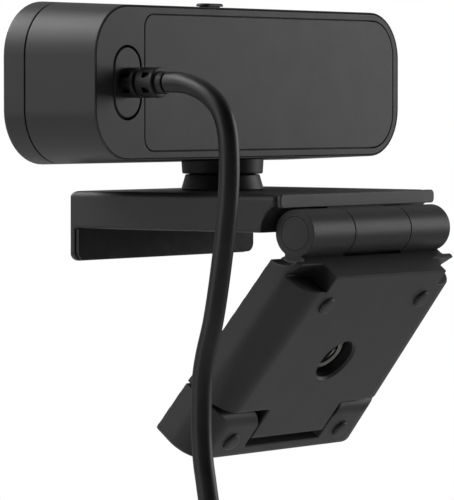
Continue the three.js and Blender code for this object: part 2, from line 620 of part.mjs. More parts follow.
function plugShell() {
  const top = PLUG_TOP - PLUG_NUB - PLUG_LONG - GAP;
  const outer = (inset, z0, z1) => block(TAIL_X - SHELL_THICK / 2 + inset, TAIL_X + SHELL_THICK / 2 - inset,
    TAIL_Y - SHELL_WIDE / 2 + inset, TAIL_Y + SHELL_WIDE / 2 - inset, z0, z1);
  return cut(outer(0, top - SHELL_LONG, top), outer(SHELL_WALL, top - SHELL_LONG - 1, top - 1));
}

function plugTongue() {
  const top = PLUG_TOP - PLUG_NUB - PLUG_LONG - 2 * GAP - 1;
  const face = TAIL_X + SHELL_THICK / 2 - SHELL_WALL - GAP;
  return block(face - 1.4, face, TAIL_Y - SHELL_WIDE / 2 + 1, TAIL_Y + SHELL_WIDE / 2 - 1,
    top - SHELL_LONG + 2.5, top);
}

piece(neck, 'cord_lead', cordTube(), cordBlack);
piece(neck, 'cord_coil', coilRing(), cordBlack);
piece(neck, 'cord_tail', bar('z', CORD_D / 2, COIL_Z - TAIL_DROP, COIL_Z, TAIL_X, TAIL_Y, 10), cordBlack);
piece(neck, 'coil_tie', coilTie(), blackPlastic);
piece(neck, 'plug_body', plugBody(), blackPlastic);
piece(neck, 'plug_shell', plugShell(), steel);
piece(neck, 'plug_tongue', plugTongue(), blackPlastic);

// ---- clip ----

const plateHalf = (y) => PLATE_BACK_HALF
  + (PLATE_FRONT_HALF - PLATE_BACK_HALF) * (PLATE_BACK - y) / (PLATE_BACK - PLATE_FRONT);

// The plate's trapezoid outline between two depths, moved in by inset.
function plateOutline(y0, y1, inset, corner) {
  const points = [];
  const corners = [[1, y1, 0], [-1, y1, 1], [-1, y0, 2], [1, y0, 3]];
  for (const [side, y, quarter] of corners) {
    const back = y === y1;
    const inward = back ? -1 : 1;
    for (let i = 0; i <= ARC_STEPS; i++) {
      const angle = (quarter + i / ARC_STEPS) * Math.PI / 2;
      const cy = y + inward * (inset + corner);
      const cx = side * (plateHalf(y + inward * (inset + corner)) - inset - corner);
      points.push([cx + corner * Math.cos(angle), cy + corner * Math.sin(angle)]);
    }
  }
  return points;
}

function clipPlate() {
  const back = PLATE_BACK - REAR_CAP_THICK - GAP;
  const level = (z, inset, corner) => acrossZ(plateOutline(PLATE_FRONT, back, inset, corner), z);
  const shape = loft([level(0, 0.3, 1.5), level(0.4, 0, 1.8), level(PLATE_TOP - 1.3, 0, 1.8),
    level(PLATE_TOP - 0.7, 0.2, 1.6), level(PLATE_TOP - 0.25, 0.6, 1.2), level(PLATE_TOP, 1.2, 0.6)]);
  const lipHalf = plateHalf(PLATE_FRONT) - 0.05;
  const lipOutline = (inset) => roundedRect(-lipHalf + inset, lipHalf - inset, LIP_BOTTOM + inset,
    PLATE_TOP - 3, LIP_CORNER);
  const lip = loft([acrossY(lipOutline(0.5), PLATE_FRONT), acrossY(lipOutline(0), PLATE_FRONT + 0.5),
    acrossY(lipOutline(0), LIP_BACK)]);
  const cavity = loft([acrossZ(plateOutline(LIP_BACK + GAP, HINGE_Y - RECESS_R - WALL, WALL, 1), -20),
    acrossZ(plateOutline(LIP_BACK + GAP, HINGE_Y - RECESS_R - WALL, WALL, 1), TOP_WALL_UNDER)]);
  const window = block(-CENTRE_HALF - GAP, CENTRE_HALF + GAP, 20, 50,
    CLIP_FLOOR + BASE_THICK, TOP_WALL_UNDER - 0.2);
  return cut(join(cut(shape, cavity), lip), window, bar('z', HUB_R + GAP, 0, 20, 0, 0, SIDES),
    bar('x', SIDE_RECESS_R, -60, 60, HINGE_Y, HINGE_Z, SIDES));
}

function rearCap() {
  const half = plateHalf(PLATE_BACK);
  const y0 = PLATE_BACK - REAR_CAP_THICK;
  const outline = (inset) => roundedRect(-half + inset, half - inset, REAR_CAP_BOTTOM, PLATE_TOP - inset, 0.8);
  const tab = block(-4, 4, y0 - 3, y0 + 0.1, TOP_WALL_UNDER + 0.15, PLATE_TOP - 1);
  return cut(join(loft([acrossY(outline(0), y0), acrossY(outline(0), PLATE_BACK - 0.25),
    acrossY(outline(0.3), PLATE_BACK)]), tab), bar('x', RECESS_R, -60, 60, HINGE_Y, HINGE_Z, SIDES));
}

function flatPlate(y0, y1, inset, z0, z1) {
  return loft([acrossZ(plateOutline(y0, y1, inset, 1), z0), acrossZ(plateOutline(y0, y1, inset, 1), z1)]);
}

// The centre knuckle on a flat tongue that is screwed down inside the clip plate.
function hingeBracket() {
  const tongue = block(-CENTRE_HALF, CENTRE_HALF, 15, PLATE_BACK - REAR_CAP_THICK - GAP,
    BRACKET_BOTTOM, BRACKET_TOP);
  return cut(join(tongue, bar('x', BARREL_R, -CENTRE_HALF, CENTRE_HALF, HINGE_Y, HINGE_Z, SIDES)),
    bar('x', HINGE_PIN_R + GAP, -60, 60, HINGE_Y, HINGE_Z),
    ...[-1, 1].map((side) => bar('z', 1.2 + GAP, -5, 20, side * BRACKET_SCREW_X, BRACKET_SCREW_Y)));
}

const clip = new THREE.Group();
root.add(clip);
// The tab of the rear cap goes into a pocket in the plate's rear edge.
const tabPocket = block(-4 - GAP, 4 + GAP, PLATE_BACK - REAR_CAP_THICK - 3 - GAP, PLATE_BACK,
  TOP_WALL_UNDER - 0.2, PLATE_TOP - 0.7);
piece(clip, 'clip_plate', cut(clipPlate(), tabPocket), shellGrey);
piece(clip, 'clip_rear_cap', rearCap(), panelGrey);
piece(clip, 'clip_base', flatPlate(LIP_BACK + 2 * GAP, HINGE_Y - RECESS_R - WALL - GAP, WALL + GAP,
  CLIP_FLOOR, CLIP_FLOOR + BASE_THICK), blackPlastic);
piece(clip, 'seat_pad', flatPlate(LIP_BACK + 1, HINGE_Y - RECESS_R - WALL - 1, WALL + 1,
  0, SEAT_PAD_THICK), rubber);
piece(clip, 'lip_pad', prismY(roundedRect(-plateHalf(PLATE_FRONT) + 0.3, plateHalf(PLATE_FRONT) - 0.3,
  LIP_BOTTOM + 0.2, -GAP, LIP_CORNER - 0.3), LIP_BACK + GAP, LIP_BACK + GAP + LIP_PAD_THICK), rubber);
piece(clip, 'hinge_bracket', hingeBracket(), shellGrey);
for (const [name, side] of [['bracket_screw_left', 1], ['bracket_screw_right', -1]]) {
  piece(clip, name, bar('z', 1.2, CLIP_FLOOR + BASE_THICK + GAP, BRACKET_TOP, side * BRACKET_SCREW_X,
    BRACKET_SCREW_Y), steel);
}
piece(clip, 'hinge_pin', bar('x', HINGE_PIN_R, -BARREL_HALF + END_CAP_THICK + 2 * GAP,
  BARREL_HALF - END_CAP_THICK - 2 * GAP, HINGE_Y, HINGE_Z), steel);

// ---- arm and toe: y = -(distance along the arm), z = -(distance outwards) ----

const arm = new THREE.Group();
arm.position.set(0, HINGE_Y, HINGE_Z);
arm.rotation.x = ARM_OPEN;
root.add(arm);
const armHalf = (along) => ARM_HALF + ARM_FLARE * along;

// The arm's cross-section at a distance along it, moved in by inset, with the outer edges rounded.
function armSection(along, inset = 0, inner = ARM_INNER) {
  const half = armHalf(along) - inset;
  const outer = ARM_OUTER - inset;
  const fillet = ARM_FILLET - inset;
  const points = [new THREE.Vector3(-half, -along, -inner)];
  for (let i = 0; i <= ARC_STEPS; i++) {
    const angle = (i / ARC_STEPS) * Math.PI / 2;
    points.push(new THREE.Vector3(-half + fillet * (1 - Math.cos(angle)), -along,
      -outer + fillet * (1 - Math.sin(angle))));
  }
  const mirrored = points.map((p) => new THREE.Vector3(-p.x, p.y, p.z)).reverse();
  return [...points, ...mirrored];
}
const armLoft = (stations) => {
  const sections = stations.map(([along, inset, inner]) => armSection(along, inset, inner));
  return loft(sections.reverse());
};
const atRest = (body) => body.rotate([-THREE.MathUtils.radToDeg(ARM_OPEN), 0, 0]);

function notch(side) {
  const start = 1;
  const rise = (NOTCH_END - start) * NOTCH_SLOPE;
  const outline = [[-NOTCH_END, -25], [-start, -25], [-start, -NOTCH_FLOOR - rise], [-NOTCH_END, -NOTCH_FLOOR]];
  const ring = (x) => outline.map(([y, z]) => new THREE.Vector3(x, y, z));
  return loft([ring(side * NOTCH_X), ring(side * 34)]);
}

function armShell() {
  let body = armLoft([[-8, 0], [ARM_END, 0]]);
  body = cut(body,
    atRest(block(-40, 40, -30, 30, ARM_SHELF, 30)),
    block(-40, 40, -ARM_TOP, 30, -40, 30),
    armLoft([[POCKET_START, WALL, -5], [POCKET_END, WALL, -5]]),
    notch(1), notch(-1));
  const boss = bar('z', TRIPOD_BORE_R + 2, -ARM_OUTER + 1, -ARM_INNER - ARM_COVER_THICK - GAP,
    0, -TRIPOD_AT, SIDES);
  const tongue = block(-TONGUE_HALF, TONGUE_HALF, -TONGUE_END, -ARM_END + 1, -ARM_OUTER, -2);
  body = join(body, boss, tongue);
  for (const side of [-1, 1]) {
    const from = Math.min(side * (CENTRE_HALF + GAP), side * BARREL_HALF);
    const to = Math.max(side * (CENTRE_HALF + GAP), side * BARREL_HALF);
    const web = atRest(block(from, to, -2.6, 1.6, ARM_SHELF - 1, -2.5));
    body = join(body, bar('x', BARREL_R, from, to, 0, 0, SIDES), web);
    const mouth = side * (BARREL_HALF - END_CAP_THICK - GAP);
    const beyond = side * 40;
    const capSeat = bar('x', END_CAP_R + GAP, Math.min(mouth, beyond), Math.max(mouth, beyond), 0, 0, 20);
    body = cut(body, capSeat, bar('x', SIDE_RECESS_R, Math.min(side * BARREL_HALF, beyond),
      Math.max(side * BARREL_HALF, beyond), 0, 0, SIDES));
  }
  return cut(body,
    bar('x', RECESS_R, -CENTRE_HALF - GAP, CENTRE_HALF + GAP, 0, 0, SIDES),
    bar('x', HINGE_PIN_R + GAP, -60, 60, 0, 0),
    bar('z', TRIPOD_BORE_R, -20, -3.8, 0, -TRIPOD_AT, SIDES),
    bar('z', TRIPOD_BORE_R + BORE_CHAMFER * 1.1, -ARM_OUTER - BORE_CHAMFER * 0.1, -ARM_OUTER + BORE_CHAMFER,
      0, -TRIPOD_AT, SIDES, TRIPOD_BORE_R),
    bar('x', TOE_PIN_R + GAP, -TONGUE_HALF - 1, TONGUE_HALF + 1, -TOE_PIN_AT, -TOE_PIN_OUT));
}

// The cover that closes the arm's pocket, with a recess for the grip pad.
function armInnerCover() {
  const inset = WALL + GAP;
  const slab = armLoft([[POCKET_START + GAP, inset, ARM_INNER], [POCKET_END - GAP, inset, ARM_INNER]])
    .intersect(block(-60, 60, -60, 20, -ARM_INNER - ARM_COVER_THICK, 0));
  return cut(slab, block(-ARM_PAD_HALF - GAP, ARM_PAD_HALF + GAP, -POCKET_END + 3 - GAP, -POCKET_START - 3 + GAP,
    -ARM_INNER - ARM_PAD_THICK - GAP, 1));
}

// A threaded metal insert with a chamfered mouth, sunk below the arm's outer face.
function tripodInsert() {
  const mouth = -(ARM_OUTER - INSERT_SUNK);
  const floor = -4.1;
  const outer = TRIPOD_BORE_R - GAP;
  const profile = [[outer, floor], [INSERT_BORE_R, floor]];
  for (let z = floor - THREAD_PITCH / 2; z > mouth + 1.3; z -= THREAD_PITCH) {
    profile.push([INSERT_BORE_R + 0.45, z], [INSERT_BORE_R, z - THREAD_PITCH / 2]);
  }
  profile.push([INSERT_BORE_R, mouth + 0.9], [INSERT_BORE_R + 0.9, mouth], [outer - 0.5, mouth],
    [outer, mouth + 0.5], [outer, floor]);
  const points = profile.map(([radius, z]) => new THREE.Vector2(radius, z));
  const geometry = new THREE.LatheGeometry(points, 18).rotateX(Math.PI / 2).translate(0, -TRIPOD_AT, 0);
  return solid(geometry);
}

// A low rubber dome on the arm's or the toe's outer face.
function foot(x, along) {
  const base = -ARM_OUTER - GAP;
  return join(bar('z', FOOT_R, base - FOOT_PROUD * 0.5, base, x, -along, 16),
    bar('z', FOOT_R * 0.7, base - FOOT_PROUD, base - FOOT_PROUD * 0.4, x, -along, 16, FOOT_R));
}

piece(arm, 'arm_shell', armShell(), shellGrey);
piece(arm, 'arm_inner_cover', armInnerCover(), blackPlastic);
piece(arm, 'arm_pad', block(-ARM_PAD_HALF, ARM_PAD_HALF, -POCKET_END + 3, -POCKET_START - 3,
  -ARM_INNER - ARM_PAD_THICK, -ARM_INNER), rubber);
for (const [name, side] of [['end_cap_left', 1], ['end_cap_right', -1]]) {
  const inner = side * (BARREL_HALF - END_CAP_THICK);
  const outer = side * BARREL_HALF;
  piece(arm, name, bar('x', END_CAP_R, Math.min(inner, outer), Math.max(inner, outer), 0, 0, 20), shellGrey);
}
piece(arm, 'tripod_insert', tripodInsert(), brass);
piece(arm, 'arm_foot_left', foot(ARM_FOOT_X, ARM_FOOT_AT), rubber);
piece(arm, 'arm_foot_right', foot(-ARM_FOOT_X, ARM_FOOT_AT), rubber);
piece(arm, 'toe_pin', bar('x', TOE_PIN_R, -24, 24, -TOE_PIN_AT, -TOE_PIN_OUT), steel);

function toeFlap() {
  const start = TOE_PIN_AT - TOE_KNUCKLE_R;
  const slotHalf = TONGUE_HALF + GAP;
  const body = armLoft([[start, 0], [TOE_END - 1, 0], [TOE_END - 0.3, 0.4], [TOE_END, 1]]);
  const corner = cut(block(-60, 60, -TOE_PIN_AT, -start + 1, -ARM_OUTER - 1, -TOE_PIN_OUT),
    bar('x', TOE_KNUCKLE_R, -60, 60, -TOE_PIN_AT, -TOE_PIN_OUT, SIDES));
  return cut(body, corner,
    block(-slotHalf, slotHalf, -TOE_SLOT_END, 0, -20, 20),
    bar('x', TOE_PIN_R + GAP, -24 - GAP, 24 + GAP, -TOE_PIN_AT, -TOE_PIN_OUT));
}

piece(arm, 'toe_flap', toeFlap(), shellGrey);
piece(arm, 'toe_foot_left', foot(TOE_FOOT_X, TOE_FOOT_AT), rubber);
piece(arm, 'toe_foot_right', foot(-TOE_FOOT_X, TOE_FOOT_AT), rubber);

export default root;
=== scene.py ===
"""A USB webcam on a folding monitor clip: looks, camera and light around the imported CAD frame."""
import math

import bmesh
import bpy
from mathutils import Matrix, Vector


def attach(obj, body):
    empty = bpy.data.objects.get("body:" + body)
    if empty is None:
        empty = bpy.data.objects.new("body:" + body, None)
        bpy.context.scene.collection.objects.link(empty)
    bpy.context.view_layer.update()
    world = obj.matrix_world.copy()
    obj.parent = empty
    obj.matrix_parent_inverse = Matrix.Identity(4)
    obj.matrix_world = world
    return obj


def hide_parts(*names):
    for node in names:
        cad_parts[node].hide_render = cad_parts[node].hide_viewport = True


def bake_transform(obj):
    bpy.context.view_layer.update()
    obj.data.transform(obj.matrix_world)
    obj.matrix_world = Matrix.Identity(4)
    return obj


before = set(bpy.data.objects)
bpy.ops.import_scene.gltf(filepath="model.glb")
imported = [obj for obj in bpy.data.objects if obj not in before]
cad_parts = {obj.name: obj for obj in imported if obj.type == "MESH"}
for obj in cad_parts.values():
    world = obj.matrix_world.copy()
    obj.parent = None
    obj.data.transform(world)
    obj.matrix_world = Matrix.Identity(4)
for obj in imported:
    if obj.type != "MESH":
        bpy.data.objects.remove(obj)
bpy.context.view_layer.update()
MM = 0.001

# ---- sizes in millimetres, in the CAD model's frame ----

GAP = 0.3
WALL = 1.8
HEAD_WIDTH = 102.8
HEAD_TALL = 31.0
HEAD_BACK = 8.55
HEAD_DEPTH = 23.75
HEAD_BOTTOM = 14.25
HEAD_CORNER = 10.1
HEAD_DRAFT = 1.03
HEAD_FRONT = HEAD_BACK - HEAD_DEPTH
HEAD_MID = HEAD_BOTTOM + HEAD_TALL / 2
BEZEL_BACK = HEAD_FRONT + 6.0
SLEEVE_FRONT = BEZEL_BACK + GAP / 2
RIM = 0.25
BEZEL_ROUND = 1.3
SEAM = 0.13
PANEL_SEAM = 0.2
PANEL_FROM, PANEL_TO = -49.5, 36.15
PANEL_MARGIN = 1.7
COVER_FRONT = HEAD_BACK - 1.9
PANEL_FLOOR = HEAD_BACK - 0.8 - GAP
RECESS_FLOOR = HEAD_FRONT + 1.2
WALL_BACK = RECESS_FLOOR + 1.2
WINDOW_R = 7.8
CORD_X = 41.4
CORD_R = 2.05
RELIEF_R = 3.05
RELIEF_END = HEAD_BACK + 10
RELIEF_RINGS = ((HEAD_BACK + GAP, 12.0), (12.6, 16.9))
CABLE_PLATE_WIDE = 8.1
CABLE_PLATE_TALL = 14.2
LENS_R = 3.6
BLADE_FRONT = WALL_BACK + GAP
BLADE_THICK = 0.6
LENS_FRONT = BLADE_FRONT + BLADE_THICK + GAP
SENSOR_BOARD_Y = LENS_FRONT + 8.4
MIC_X = 24
COVER_SCREW_X = (-38, 30)
COVER_SCREW_Z = HEAD_BOTTOM + 5.2
LED_X = 17.5
LED_R = 0.9
SHUTTER_TRAVEL = 9.5
SHUTTER_Y = -3.4
KNOB_LONG = 7.0
KNOB_WIDE = 3.3
DRUM_R = 8.6
DRUM_BOTTOM = 11.0
CONE_TOP_R = 7.8
HUB_R = 5.6
POST_R = 3.3
NECK_SCREW_X = 5.2
NECK_SCREW_R = 0.8
PLATE_TOP = 7.68
PLATE_FRONT = -17.0
PLATE_BACK = 35.4
PLATE_FRONT_HALF = 29.7
PLATE_BACK_HALF = 26.6
PLATE_CORNER = 1.0
PLATE_ROUND = 1.3
CAP_THICK = 0.8
CAP_BOTTOM = 4.95
LIP_BOTTOM = -6.75
LIP_BACK = PLATE_FRONT + 1.6
TOP_WALL_UNDER = PLATE_TOP - 1.6
BASE_BOTTOM = 1.0
BASE_TOP = BASE_BOTTOM + 1.2
HINGE_Y = 36.7
HINGE_Z = -0.07
BARREL_R = 4.78
BARREL_HALF = 23.65
CENTRE_HALF = 9.55
PIN_R = 1.5
END_CAP_R = 3.4
END_CAP_THICK = 1.2
RECESS_R = 5.2
SIDE_RECESS_R = 6.1
ARM_OPEN = math.radians(51.7)
ARM_OUTER = 10.94
ARM_INNER = 0.4
ARM_HALF = 26.63
ARM_FLARE = 0.0537
ARM_FILLET = 6.5
ARM_END = 37.9
ARM_SHELF = -4.65
ARM_TOP = 2.51
NOTCH_X = 19.2
NOTCH_END = 6.4
NOTCH_FLOOR = 5.0
NOTCH_SLOPE = 0.463
ARM_FOOT_AT = (16.4, 9.9)
TOE_FOOT_AT = (18.6, 45.9)
POCKET_START = 9
POCKET_END = 36
TONGUE_HALF = 12.3
TONGUE_END = 45.8
FOOT_R = 2.0
TRIPOD_AT = 25.6
TRIPOD_BORE_R = 4.8
INSERT_BORE_R = 2.75
THREAD_PITCH = 1.27
INSERT_SUNK = 2.2
BORE_CHAMFER = 0.5
TOE_END = 50.7
TOE_SLOT_END = 47.9
TOE_PIN_AT = 42.0
TOE_PIN_OUT = 7.44
TOE_KNUCKLE_R = 3.5
TOE_PIN_R = 1.1
COIL_PITCH = 4.25
COIL_MEAN_R = 23.5
COIL_Y = 13.6
COIL_Z = -76.5 - COIL_MEAN_R - COIL_PITCH
COIL_X = CORD_X - COIL_PITCH
COIL_HALF = COIL_PITCH + CORD_R
TIE_HALF = 4.5
TIE_THICK = 1.3
TAIL_X = COIL_X - COIL_HALF - GAP - CORD_R
TAIL_Y = COIL_Y - COIL_MEAN_R + COIL_PITCH
TAIL_DROP = 30
PLUG_TOP = COIL_Z - TAIL_DROP - GAP
PLUG_NUB = 8
PLUG_LONG = 20
PLUG_WIDE = 15
PLUG_THICK = 7.6
PLUG_FACE = PLUG_TOP - PLUG_NUB - PLUG_LONG
SHELL_LONG = 12
SHELL_WIDE = 12
SHELL_THICK = 4.5
SHELL_WALL = 0.45
ARC = 14
MOULD_VOXEL = 0.22

# ---- camera ----

CAMERA_TURN, CAMERA_RISE = math.radians(128), math.radians(2.334)
CAMERA_AWAY = 0.750441
CAMERA_AIM = Vector((-0.000579, 0.000742, -0.005015))
CAMERA_LENS = 258.14
SENSOR_WIDTH = 36
away = Vector((math.sin(CAMERA_TURN) * math.cos(CAMERA_RISE),
               -math.cos(CAMERA_TURN) * math.cos(CAMERA_RISE), math.sin(CAMERA_RISE)))
camera = bpy.data.objects.new("camera", bpy.data.cameras.new("camera"))
bpy.context.scene.collection.objects.link(camera)
camera.data.sensor_width = SENSOR_WIDTH
camera.data.lens = CAMERA_LENS
camera.data.clip_start, camera.data.clip_end = 0.01, 50
camera.location = CAMERA_AIM + away * CAMERA_AWAY
camera.rotation_mode = "QUATERNION"
camera.rotation_quaternion = (-away).to_track_quat("-Z", "Y")
bpy.context.scene.camera = camera

# ---- materials ----


def linear(value):
    value /= 255
    return value / 12.92 if value <= 0.04045 else ((value + 0.055) / 1.055) ** 2.4


def shade(*rgb):
    return (*[linear(v) for v in rgb], 1)


def scaled(colour, factor):
    return (*[min(1, c * factor) for c in colour[:3]], 1)


class Nodes:
    """A node tree with short calls for the nodes that the materials share."""

    def __init__(self, tree):
        self.tree = tree
        tree.nodes.clear()

    def add(self, kind, inputs=None, **settings):
        node = self.tree.nodes.new(kind)
        for key, value in settings.items():
            setattr(node, key, value)
        for key, value in (inputs or {}).items():
            if isinstance(value, bpy.types.NodeSocket):
                self.tree.links.new(value, node.inputs[key])
            else:
                node.inputs[key].default_value = value
        return node

    def place(self, stretch=(1, 1, 1)):
        coordinates = self.add("ShaderNodeTexCoord").outputs["Object"]
        return self.add("ShaderNodeMapping", {"Vector": coordinates, "Scale": stretch}).outputs[0]

    def noise(self, size, detail=2.0, roughness=0.5, stretch=(1, 1, 1)):
        """Noise whose features are about that size, in millimetres."""
        return self.add("ShaderNodeTexNoise", {
            "Vector": self.place(stretch), "Scale": 1 / (size * MM), "Detail": detail,
            "Roughness": roughness}).outputs["Fac"]

    def span(self, value, low, high, start=0.3, end=0.7):
        return self.add("ShaderNodeMapRange", {
            "Value": value, "From Min": start, "From Max": end, "To Min": low, "To Max": high}).outputs[0]

    def blend(self, amount, first, second):
        node = self.add("ShaderNodeMix", data_type="RGBA")
        for index, value in ((0, amount), (6, first), (7, second)):
            if isinstance(value, bpy.types.NodeSocket):
                self.tree.links.new(value, node.inputs[index])
            else:
                node.inputs[index].default_value = value
        return node.outputs[2]

    def bump(self, height, strength, depth, normal=None):
        inputs = {"Height": height, "Strength": strength, "Distance": depth * MM}
        if normal is not None:
            inputs["Normal"] = normal
        return self.add("ShaderNodeBump", inputs).outputs[0]


def material(name):
    made = bpy.data.materials.new(name)
    made.use_nodes = True
    return made, Nodes(made.node_tree)


def finish_material(nodes, settings):
    surface = nodes.add("ShaderNodeBsdfPrincipled", settings)
    nodes.add("ShaderNodeOutputMaterial", {"Surface": surface.outputs[0]})


def plastic(name, colour, roughness, grain=0.22, depth=0.02, speckle=0.10, mottle=0.02, specular=0.5):
    """Moulded plastic with a fine eroded grain, a slight cloudiness and faint handling marks."""
    made, n = material(name)
    fine = n.noise(grain, 3, 0.6)
    coarse = n.noise(grain * 3.2, 2, 0.5)
    clouds = n.noise(14, 3, 0.5)
    marks = n.noise(5, 4, 0.65, (1, 0.35, 1))
    base = n.blend(n.span(clouds, 0, 1), scaled(colour, 1 - mottle), scaled(colour, 1 + mottle))
    base = n.blend(n.span(fine, 0, 0.5, 0.52, 0.75), base, scaled(colour, 1 + 4 * speckle))
    rough = n.add("ShaderNodeMath", {0: n.span(marks, roughness - 0.015, roughness + 0.015),
                                     1: n.span(fine, -0.05, 0.05)}, operation="ADD").outputs[0]
    normal = n.bump(coarse, 0.35, depth * 1.2)
    normal = n.bump(fine, 0.6, depth, normal)
    finish_material(n, {"Base Color": base, "Roughness": rough, "Normal": normal,
                        "Specular IOR Level": specular})
    return made


def rubber_material(name, colour, roughness=0.75, grain=0.12, depth=0.012):
    """Soft rubber: dull, with a powdery grain."""
    made, n = material(name)
    fine = n.noise(grain, 4, 0.7)
    dust = n.noise(3.5, 5, 0.7)
    base = n.blend(n.span(dust, 0, 0.45, 0.45, 0.8), colour, scaled(colour, 1.5))
    finish_material(n, {"Base Color": base, "Roughness": n.span(dust, roughness - 0.06, roughness + 0.08),
                        "Normal": n.bump(fine, 0.6, depth)})
    return made


def metal(name, colour, roughness, stretch=(1, 1, 1), depth=0.006, tarnish=0.12):
    """Plated metal with fine tool marks and slightly cloudy plating."""
    made, n = material(name)
    lines = n.noise(0.3, 3, 0.6, stretch)
    clouds = n.noise(2.5, 4, 0.6)
    base = n.blend(n.span(clouds, 0, 1), scaled(colour, 1 - tarnish), colour)
    finish_material(n, {"Base Color": base, "Metallic": 1.0, "Normal": n.bump(lines, 0.4, depth),
                        "Roughness": n.span(clouds, roughness - 0.06, roughness + 0.08)})
    return made


def cord_material(name, colour):
    """A satin extruded sheath, with a faint fine grain and smudges."""
    made, n = material(name)
    fine = n.noise(0.18, 3, 0.6)
    smudges = n.noise(7, 3, 0.6)
    base = n.blend(n.span(smudges, 0, 1), colour, scaled(colour, 1.35))
    finish_material(n, {"Base Color": base, "Roughness": n.span(smudges, 0.34, 0.46),
                        "Normal": n.bump(fine, 0.35, 0.006)})
    return made


def board_material(name):
    """Green solder mask over copper tracks, which show as a slightly raised paler pattern."""
    made, n = material(name)
    cells = n.add("ShaderNodeTexVoronoi", {"Vector": n.place(), "Scale": 1 / (2.2 * MM)},
                  distance="MANHATTAN")
    tracks = n.span(cells.outputs["Distance"], 0, 1, 0.42, 0.5)
    base = n.blend(tracks, shade(10, 58, 36), shade(24, 88, 54))
    finish_material(n, {"Base Color": base, "Roughness": n.span(n.noise(3, 3), 0.3, 0.42),
                        "Normal": n.bump(tracks, 0.5, 0.02)})
    return made


def glass_material(name, tint, roughness, coating=None):
    """Clear glass with a tint and a very faint film of dust on it."""
    made, n = material(name)
    film = n.noise(6, 4, 0.6)
    base = n.blend(n.span(film, 0, 0.15), tint, scaled(tint, 1.1))
    settings = {"Base Color": base, "Transmission Weight": 1.0, "IOR": 1.48,
                "Roughness": n.span(film, roughness, roughness + 0.03)}
    if coating is not None:
        settings.update({"Coat Weight": 0.8, "Coat Roughness": 0.03, "Coat Tint": coating})
    finish_material(n, settings)
    return made


shell_grey = plastic("shell_grey", shade(46, 46, 47), 0.45, specular=0.35)
panel_grey = plastic("panel_grey", shade(48, 48, 49), 0.46, grain=0.26, specular=0.35)
cap_grey = plastic("cap_grey", shade(61, 61, 62), 0.45, grain=0.3, speckle=0.16, specular=0.35)
inner_black = plastic("inner_black", shade(24, 24, 26), 0.45, grain=0.3, speckle=0.06)
gloss_black = plastic("gloss_black", shade(14, 14, 15), 0.16, grain=0.6, depth=0.002, speckle=0.03)
soft_rubber = rubber_material("soft_rubber", shade(32, 32, 34))
foot_rubber = rubber_material("foot_rubber", shade(47, 47, 48), 0.5)
relief_rubber = rubber_material("relief_rubber", shade(14, 14, 15), 0.5, 0.2)
black_steel = metal("black_steel", shade(44, 44, 46), 0.4)
plated_steel = metal("plated_steel", shade(196, 196, 198), 0.28)
nickel = metal("nickel", shade(122, 120, 116), 0.24, (1, 1, 0.15), 0.004)
gold = metal("gold", shade(226, 186, 110), 0.25)
solder_mask = board_material("solder_mask")
cord_sheath = cord_material("cord_sheath", shade(14, 14, 15))
smoked_glass = glass_material("smoked_glass", shade(92, 92, 96), 0.02)
coated_glass = glass_material("coated_glass", shade(190, 190, 205), 0.01, shade(150, 120, 235))
sensor_glass = plastic("sensor_glass", shade(30, 24, 40), 0.12, grain=0.5, depth=0.001, speckle=0.02)
milky = plastic("milky", shade(214, 214, 214), 0.3, grain=0.5, depth=0.004, speckle=0.02)

# ---- mesh tools, in millimetres ----


def raw(vertices, faces):
    """A mesh object from points and faces, its faces turned outwards."""
    mesh = bpy.data.meshes.new("work")
    mesh.from_pydata([tuple(v) for v in vertices], [], faces)
    built = bmesh.new()
    built.from_mesh(mesh)
    bmesh.ops.remove_doubles(built, verts=built.verts, dist=1e-5)
    bmesh.ops.recalc_face_normals(built, faces=built.faces)
    built.to_mesh(mesh)
    built.free()
    made = bpy.data.objects.new("work", mesh)
    bpy.context.scene.collection.objects.link(made)
    return made


def drop(*objects):
    for unwanted in objects:
        mesh = unwanted.data
        bpy.data.objects.remove(unwanted)
        bpy.data.meshes.remove(mesh)


def settle(made):
    """Puts what the object's modifiers make into its mesh."""
    graph = bpy.context.evaluated_depsgraph_get()
    mesh = bpy.data.meshes.new_from_object(made.evaluated_get(graph))
    made.modifiers.clear()
    old = made.data
    made.data = mesh
    bpy.data.meshes.remove(old)
    return made


def combine(base, operation, *tools):
    for tool in tools:
        step = base.modifiers.new("step", "BOOLEAN")
        step.operation, step.solver, step.object = operation, "MANIFOLD", tool
        settle(base)
    drop(*tools)
    return base


def cut(base, *tools):
    return combine(base, "DIFFERENCE", *tools)


def join(base, *tools):
    return combine(base, "UNION", *tools)


def common(base, *tools):
    return combine(base, "INTERSECT", *tools)


def loft(rings, closed=False):
    """Joins outlines of equal length: capped at both ends, or closed on itself as a hollow ring."""
    count = len(rings[0])
    vertices = [p for ring in rings for p in ring]
    faces = []
    spans = len(rings) if closed else len(rings) - 1
    for r in range(spans):
        here, there = r * count, (r + 1) % len(rings) * count
        for i in range(count):
            j = (i + 1) % count
            faces.append((here + i, here + j, there + j, there + i))
    if not closed:
        last = (len(rings) - 1) * count
        faces += [tuple(range(count)), tuple(last + i for i in range(count))]
    return raw(vertices, faces)


def block(x0, x1, y0, y1, z0, z1):
    ring = lambda z: [(x0, y0, z), (x1, y0, z), (x1, y1, z), (x0, y1, z)]
    return loft([ring(z0), ring(z1)])


def turned(axis, profile, u=0, v=0, sides=64, closed=False):
    """A body turned round x, y or z at u, v, from [radius, along] points.

    An open profile is capped at both ends, and a closed one makes a hollow ring."""
    rings = []
    for radius, along in profile:
        ring = []
        for i in range(sides):
            a = 2 * math.pi * i / sides
            c, s = u + radius * math.cos(a), v + radius * math.sin(a)
            ring.append({"x": (along, c, s), "y": (c, along, s), "z": (c, s, along)}[axis])
        rings.append(ring)
    return loft(rings, closed)


